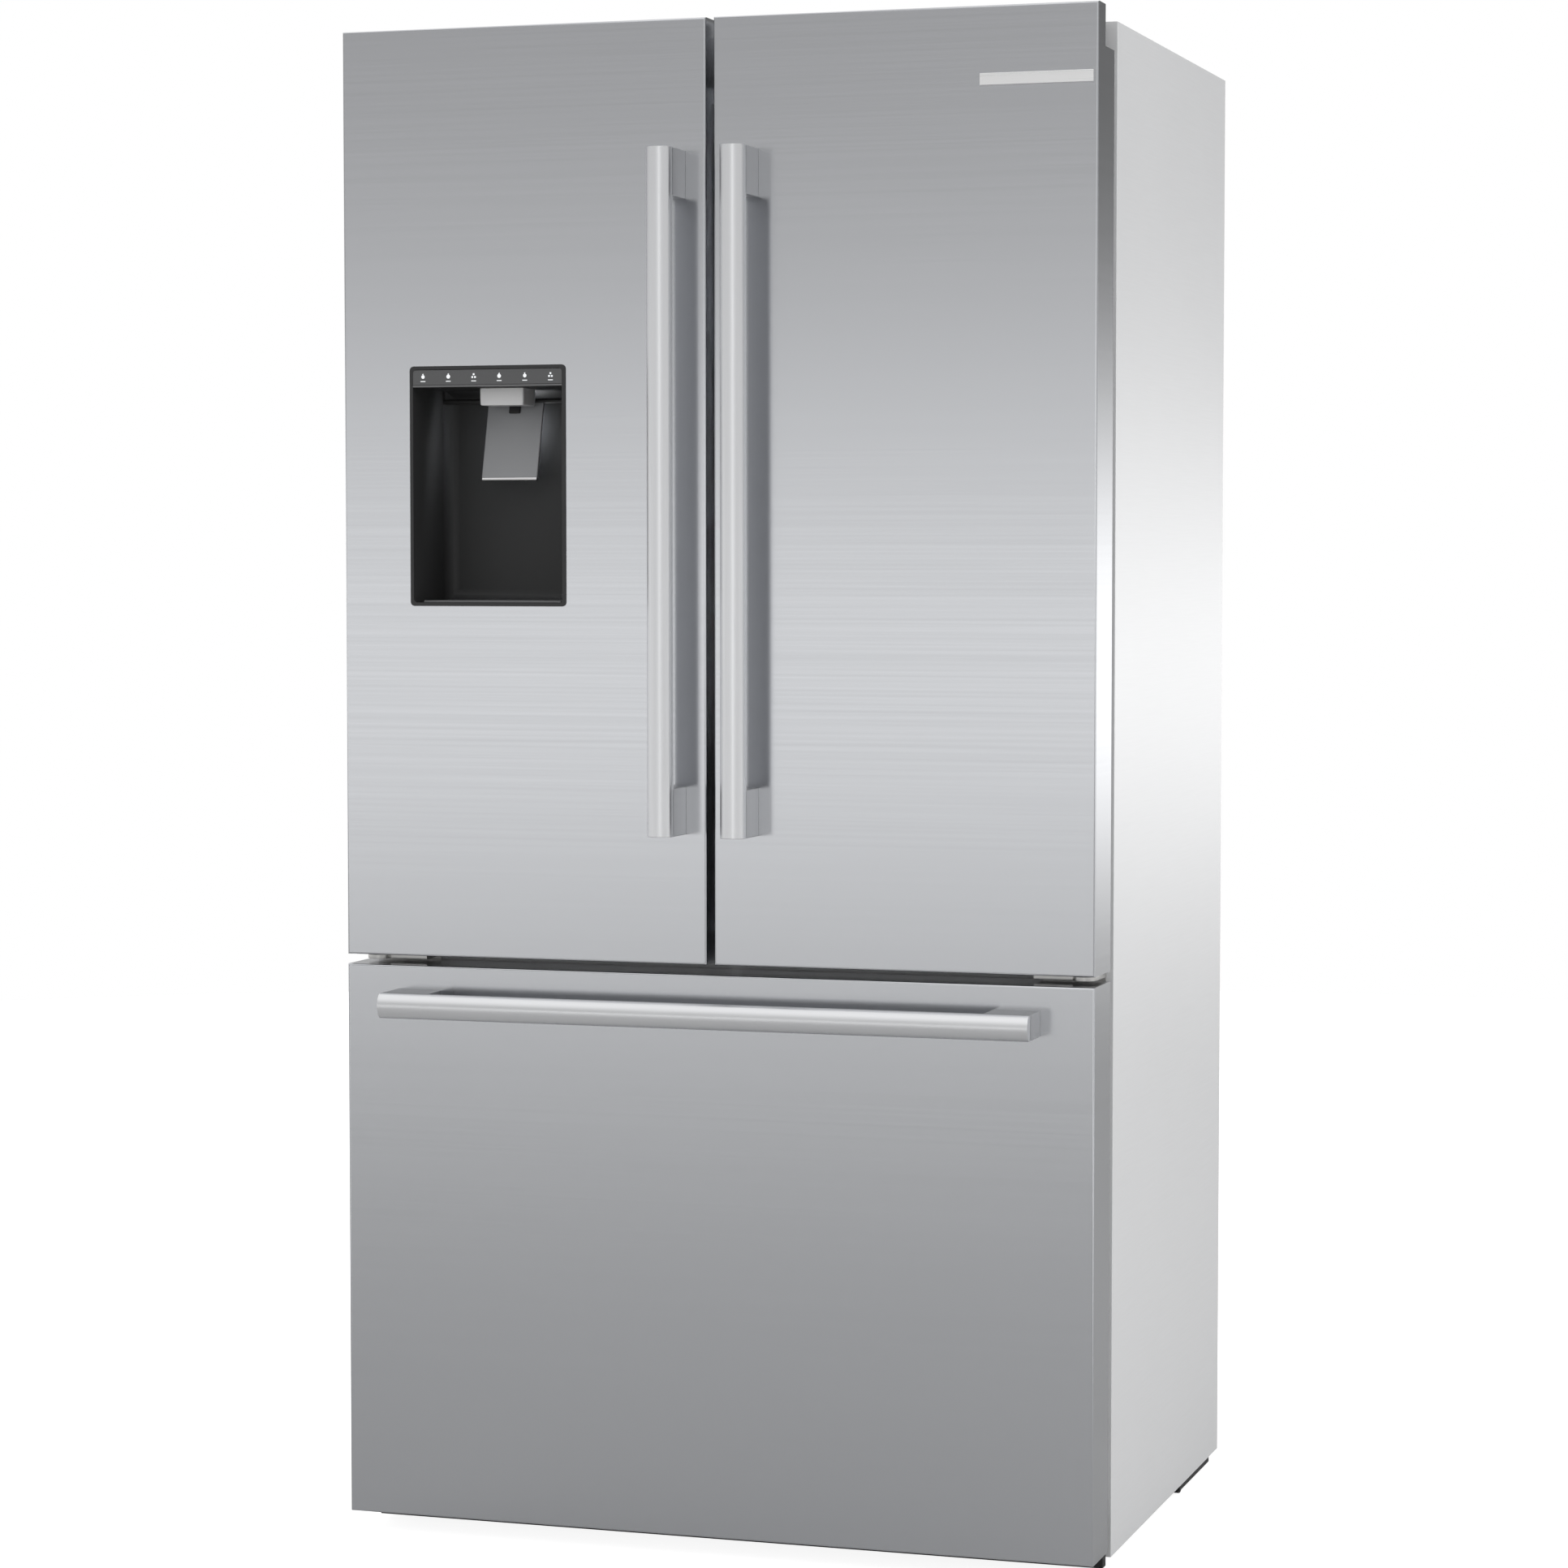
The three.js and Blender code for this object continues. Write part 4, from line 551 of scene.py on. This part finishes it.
def seal(node, body):
    """A rubber seal round a door: a flat foot, a folded bellows and a rounded magnet tube."""
    lo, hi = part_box(node)
    centre, half = (lo + hi) / 2, (hi - lo) / 2
    width, depth, corner = 18 * MM, hi.y - lo.y, 10 * MM
    # Its section, as shares of its width (outer edge first) and of its depth (door side first).
    section = ((0.0, 0.0), (0.0, 0.12), (0.16, 0.18), (0.04, 0.34), (0.16, 0.5), (0.02, 0.6), (0.0, 0.86),
               (0.1, 1.0), (0.9, 1.0), (1.0, 0.86), (0.98, 0.6), (0.84, 0.5), (0.96, 0.34), (0.84, 0.18),
               (1.0, 0.12), (1.0, 0.0))
    bm = bmesh.new()
    rings = []
    for inset, deep in section:
        pulled = inset * width
        loop = rounded_loop((centre.x, centre.z), (half.x - pulled, half.z - pulled),
                            max(corner - pulled * 0.5, 2 * MM), 4)
        rings.append([bm.verts.new((x, lo.y + deep * depth, z)) for x, z in loop])
    for near, far in zip(rings, rings[1:] + rings[:1]):
        for i in range(len(near)):
            j = (i + 1) % len(near)
            bm.faces.new((near[i], near[j], far[j], far[i]))
    # The seal's darkened rubber carries painted shade of the door gaps.
    finish_mesh(f"{node}_bellows", bm, RUBBER_AND_GAP_SHADE, body, 30, stands_for=(node,))


for node, body in (("left_door_gasket", "left_door"), ("right_door_gasket", "right_door"),
                   ("freezer_gasket", "drawer")):
    seal(node, body)


# ---- Shelves and lamps ----

def shelf(node):
    """A glass pane held in moulded front and rear trims."""
    lo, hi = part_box(node)
    pane_thick, front_rise, trim = 5 * MM, 14 * MM, 14 * MM
    pane = new_block((lo.x, lo.y + 4 * MM, lo.z), (hi.x, hi.y - 2 * MM, lo.z + pane_thick), 0.8 * MM, 2)
    finish_mesh(f"{node}_pane", pane, GLASS, "cabinet", stands_for=(node,))
    trims = new_block(lo, (hi.x, lo.y + trim, lo.z + front_rise), 3 * MM, 4, along(0))
    block(trims, (lo.x, hi.y - 10 * MM, lo.z), hi, 2 * MM, 3, along(0))
    finish_mesh(f"{node}_trims", trims, WHITE, "cabinet")


def fresh_food_room():
    """Ceiling and side lamps, and the cold-air duct with its slots, inside the fresh-food liner."""
    lo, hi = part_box("fresh_food_liner")
    wall, off_wall = 3 * MM, 0.4 * MM
    back, ceiling, centre = hi.y - wall, hi.z - wall, (lo.x + hi.x) / 2
    lamps = bmesh.new()
    # The ceiling lamp stays to the right of the gap between the doors, so that it isn't seen through it.
    lamp_left, lamp_right, lamp_front, lamp_width, lamp_drop = 70 * MM, 370 * MM, 30 * MM, 40 * MM, 4 * MM
    block(lamps, (centre + lamp_left, lo.y + lamp_front, ceiling - lamp_drop),
          (centre + lamp_right, lo.y + lamp_front + lamp_width, ceiling - off_wall), 1.6 * MM, 3)
    side_front, side_width, side_height, side_thick = 60 * MM, 18 * MM, 130 * MM, 3 * MM
    for side in SIDES.values():
        face = centre + side * (hi.x - centre - wall)
        low_x, high_x = sorted((face - side * side_thick, face - side * off_wall))
        for z in (lo.z + 330 * MM, lo.z + 620 * MM):
            block(lamps, (low_x, lo.y + side_front, z),
                  (high_x, lo.y + side_front + side_width, z + side_height), 1 * MM, 2)
    finish_mesh("room_lamps", lamps, LAMP, "cabinet")
    duct_left, duct_right, duct_thick, slot_inset = centre + 30 * MM, centre + 150 * MM, 9 * MM, 16 * MM
    duct = new_block((duct_left, back - duct_thick, lo.z + 260 * MM),
                     (duct_right, back - 0.5 * MM, ceiling - 60 * MM), 4 * MM, 4)
    slots, slot_count, slot_pitch, slot_height = bmesh.new(), 14, 42 * MM, 6 * MM
    for i in range(slot_count):
        z = lo.z + 300 * MM + i * slot_pitch
        block(slots, (duct_left + slot_inset, back - 14 * MM, z),
              (duct_right - slot_inset, back - 4 * MM, z + slot_height))
    finish_mesh("air_duct", carve(duct, slots), WHITE, "cabinet")


for node in ("shelf_upper", "shelf_lower", "crisper_cover"):
    shelf(node)
fresh_food_room()


# ---- Back ----

def screw(bm, x, y, z, radius):
    """Adds a domed screw head that faces +Y."""
    rod(bm, radius, (x, y - 0.2 * MM, z), (x, y + 1.6 * MM, z), 20, 0.6 * MM)


def back():
    """Pressed ribs down the rear panel, and the screws that hold it and the machine cover."""
    lo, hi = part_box("rear_panel")
    width, foot, inset, rise, sunk = 34 * MM, 110 * MM, 70 * MM, 1.2 * MM, 0.2 * MM
    head = 4 * MM  # screw head's radius
    ribs = bmesh.new()
    for share in (0.2, 0.4, 0.6, 0.8):
        x = lo.x + share * (hi.x - lo.x)
        block(ribs, (x - width / 2, hi.y - sunk, lo.z + foot), (x + width / 2, hi.y + rise, hi.z - inset),
              1.1 * MM, 3)
    finish_mesh("rear_ribs", ribs, SIDE_SHEET, "cabinet")
    screws = bmesh.new()
    edge, steps = 12 * MM, 6
    for step in range(steps + 1):
        z = lo.z + 40 * MM + step * (hi.z - lo.z - 60 * MM) / steps
        for x in (lo.x + edge, hi.x - edge):
            screw(screws, x, hi.y, z, head)
    for step in range(1, 5):
        screw(screws, lo.x + step * (hi.x - lo.x) / 5, hi.y, hi.z - edge, head)
    cover_lo, cover_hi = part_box("machine_cover")
    for step in range(6):
        x = cover_lo.x + 16 * MM + step * (cover_hi.x - cover_lo.x - 32 * MM) / 5
        screw(screws, x, cover_hi.y, cover_hi.z - 14 * MM, head)
    finish_mesh("rear_screws", screws, ZINC, "cabinet")


back()


# ---- The CAD nodes that stay ----

def soft_shading():
    """A node group that shades smooth, except across edges sharper than 35 degrees."""
    group = bpy.data.node_groups.new("soft_shading", "GeometryNodeTree")
    for way in ("INPUT", "OUTPUT"):
        group.interface.new_socket("Geometry", in_out=way, socket_type="NodeSocketGeometry")
    start, end = group.nodes.new("NodeGroupInput"), group.nodes.new("NodeGroupOutput")
    faces = group.nodes.new("GeometryNodeSetShadeSmooth")
    edges = group.nodes.new("GeometryNodeSetShadeSmooth")
    edges.domain = "EDGE"
    edges.inputs["Shade Smooth"].default_value = False
    angle = group.nodes.new("GeometryNodeInputMeshEdgeAngle")
    sharp = group.nodes.new("FunctionNodeCompare")
    sharp.operation = "GREATER_THAN"
    sharp.inputs["B"].default_value = math.radians(35)
    group.links.new(angle.outputs["Unsigned Angle"], sharp.inputs["A"])
    group.links.new(start.outputs[0], faces.inputs["Geometry"])
    group.links.new(faces.outputs[0], edges.inputs["Geometry"])
    group.links.new(sharp.outputs["Result"], edges.inputs["Selection"])
    group.links.new(edges.outputs[0], end.inputs[0])
    return group


SOFT_SHADING = soft_shading()


def dress(node, material, edge):
    """Gives a CAD node its material, and rounds its edges as it is drawn."""
    thing = frame["nodes"][node]
    thing.data.materials.clear()
    thing.data.materials.append(material)
    weld = thing.modifiers.new("weld", "WELD")
    weld.merge_threshold = 1e-5
    flat = thing.modifiers.new("flat_faces_whole", "DECIMATE")
    flat.decimate_type = "DISSOLVE"
    flat.angle_limit = math.radians(1)
    if edge:
        soft = thing.modifiers.new("edges_eased", "BEVEL")
        soft.width = edge
        soft.segments = 2
        soft.limit_method = "ANGLE"
        soft.angle_limit = math.radians(40)
    shading = thing.modifiers.new("soft_shading", "NODES")
    shading.node_group = SOFT_SHADING
    thing.modifiers.new("flat_faces_flat", "WEIGHTED_NORMAL").keep_sharp = True


BOTH = ("left", "right")
FINISH = [
    (SIDE_SHEET, 1.0, ["cabinet_wrapper", "rear_panel"]),
    (BLACK_SHEET, 0.5, ["machine_cover", "compressor", "base_frame"]),
    (WHITE, 1.5, ["fresh_food_liner", "freezer_liner", "left_door_liner", "right_door_liner",
                  "freezer_front_liner", "evaporator_cover", "ice_maker", "mullion_flap"]),
    (BLACK, 0.6, ["toe_grille", "power_inlet", "condenser_fan", "evaporator_fan"]),
    (GREY, 2.0, [f"hinge_cover_{side}" for side in BOTH]),
    (ZINC, 0.5, [f"{name}_{side}" for side in BOTH for name in ("hinge_top", "hinge_centre", "freezer_rail",
                                                               "slide_member", "front_foot")]),
    (BLACK, 0.5, [f"rear_roller_{side}" for side in BOTH]),
    (CLEAR, 1.0, ["crisper_left", "crisper_right", "left_bin_lower", "left_bin_upper", "right_bin_lower",
                  "right_bin_middle", "right_bin_upper", "ice_bucket", "freezer_basket", "freezer_tray"]),
    (FINS, 0.0, ["evaporator", "condenser"]),
]
for material, edge, nodes in FINISH:
    for node in nodes:
        dress(node, material, edge * MM)


# ---- Stage ----

FLOOR_RADIUS = 6.0
FLOOR_DROP = 0.0005  # below the feet, so that the two never share a plane
FLOOR_LIFT = 0.9  # how brightly the floor shows, apart from the light on it

# What polished metal sees round it. Heights and sides are directions: a unit vector's z and x.
BAND_DROP = 0.026  # a band of light, this far below eye level
BAND_HALF_HEIGHT = 0.060
FRONT_BASE, FRONT_BAND = 0.43, 1.02  # ahead and to the left: the plain light, and what the band adds
BACK_BASE, BACK_BAND = 0.16, 1.5  # behind and to the right
SOFTBOX_SIDE, SOFTBOX_HALF_WIDTH, SOFTBOX_LIGHT = 0.06, 0.13, 0.58  # an upright softbox ahead
OVERHEAD_LIGHT = 0.55

CAMERA_PLACE = (1.4982, -4.7443, 1.1601)
CAMERA_DOWN, CAMERA_TURN = 3.19, 17.69  # degrees below level, and round from straight ahead
CAMERA_LENS = 93.67


def studio_floor():
    """A plain pale floor that runs out past the picture."""
    material, tree, shader = principled("studio_floor", roughness=0.9)
    drift = noise(tree, (0.4,) * 3, 2.0)
    colour = blend_colour(tree, drift, shade(0.42), shade(0.44))
    tree.links.new(colour, shader.inputs["Base Color"])
    seen = add(tree, "ShaderNodeLightPath").outputs["Is Camera Ray"]
    lift = add(tree, "ShaderNodeMath", {0: seen, 1: FLOOR_LIFT}, operation="MULTIPLY").outputs[0]
    shader.inputs["Emission Color"].default_value = (1, 1, 1, 1)
    tree.links.new(lift, shader.inputs["Emission Strength"])
    bm = bmesh.new()
    bmesh.ops.create_circle(bm, cap_ends=True, segments=96, radius=FLOOR_RADIUS)
    mesh = bpy.data.meshes.new("studio_floor")
    bm.to_mesh(mesh)
    bm.free()
    mesh.materials.append(material)
    floor = bpy.data.objects.new("studio_floor", mesh)
    floor.location.z = CAD_BOX[0][2] - FLOOR_DROP
    bpy.context.scene.collection.objects.link(floor)


def studio_world():
    """A white backdrop; metal sees a band of light at eye level, a softbox ahead and one overhead."""
    world = bpy.data.worlds.new("studio")
    world.use_nodes = True
    tree = world.node_tree
    tree.nodes.clear()
    way = add(tree, "ShaderNodeTexCoord").outputs["Generated"]
    parts = add(tree, "ShaderNodeSeparateXYZ", {"Vector": way}).outputs

    def maths(operation, first, second=0.0):
        return add(tree, "ShaderNodeMath", {0: first, 1: second}, operation=operation).outputs[0]

    def ramp(value, start, end, low, high):
        return add(tree, "ShaderNodeMapRange", {"Value": value, "From Min": start, "From Max": end,
                                                "To Min": low, "To Max": high}).outputs["Result"]

    def hump(value, middle, half_width):
        offset = maths("DIVIDE", maths("SUBTRACT", value, middle), half_width)
        return maths("EXPONENT", maths("MULTIPLY", maths("MULTIPLY", offset, offset), -1.0))

    band = hump(parts["Z"], -BAND_DROP, BAND_HALF_HEIGHT)
    behind_right = maths("MULTIPLY", ramp(parts["Y"], -0.4, 0.4, 0.0, 1.0),
                         ramp(parts["X"], -0.3, 0.1, 0.0, 1.0))
    base = ramp(behind_right, 0.0, 1.0, FRONT_BASE, BACK_BASE)
    strength = ramp(behind_right, 0.0, 1.0, FRONT_BAND, BACK_BAND)
    ahead = maths("MULTIPLY", ramp(parts["Y"], -0.5, 0.0, 1.0, 0.0), SOFTBOX_LIGHT)
    softbox = maths("MULTIPLY", hump(parts["X"], SOFTBOX_SIDE, SOFTBOX_HALF_WIDTH), ahead)
    overhead = ramp(parts["Z"], 0.25, 0.7, 0.0, OVERHEAD_LIGHT)
    bright = maths("ADD", maths("ADD", base, maths("MULTIPLY", band, strength)),
                   maths("ADD", softbox, overhead))
    unseen = add(tree, "ShaderNodeBackground", {"Strength": bright})
    seen = add(tree, "ShaderNodeBackground", {"Strength": 1.0})
    for backdrop in (unseen, seen):
        backdrop.inputs["Color"].default_value = (1, 1, 1, 1)
    camera_ray = add(tree, "ShaderNodeLightPath").outputs["Is Camera Ray"]
    mixed = add(tree, "ShaderNodeMixShader", {0: camera_ray, 1: unseen.outputs[0], 2: seen.outputs[0]})
    add(tree, "ShaderNodeOutputWorld", {"Surface": mixed.outputs[0]})
    bpy.context.scene.world = world


def soft_light(name, location, size, power):
    """A large soft light aimed at the middle of the refrigerator, which gloss doesn't see."""
    lamp = bpy.data.lights.new(name, "AREA")
    lamp.size = size
    lamp.energy = power
    thing = bpy.data.objects.new(name, lamp)
    thing.location = location
    aim = (Vector(CAD_BOX[0]) + Vector(CAD_BOX[1])) / 2 - thing.location
    thing.rotation_euler = aim.to_track_quat("-Z", "Y").to_euler()
    thing.visible_glossy = False
    bpy.context.scene.collection.objects.link(thing)


def camera():
    """A long lens at chest height, in front of the refrigerator and to its right."""
    data = bpy.data.cameras.new("camera")
    data.lens = CAMERA_LENS
    data.sensor_width = 36.0
    thing = bpy.data.objects.new("camera", data)
    thing.location = CAMERA_PLACE
    thing.rotation_euler = Euler((math.radians(90 - CAMERA_DOWN), 0, math.radians(CAMERA_TURN)))
    bpy.context.scene.collection.objects.link(thing)
    bpy.context.scene.camera = thing


studio_floor()
studio_world()
soft_light("side_light", location=(4.2, -0.6, 1.6), size=3.0, power=86)
soft_light("front_light", location=(-1.5, -4.5, 2.4), size=3.0, power=40)
camera()
bpy.context.scene.view_settings.view_transform = "Standard"
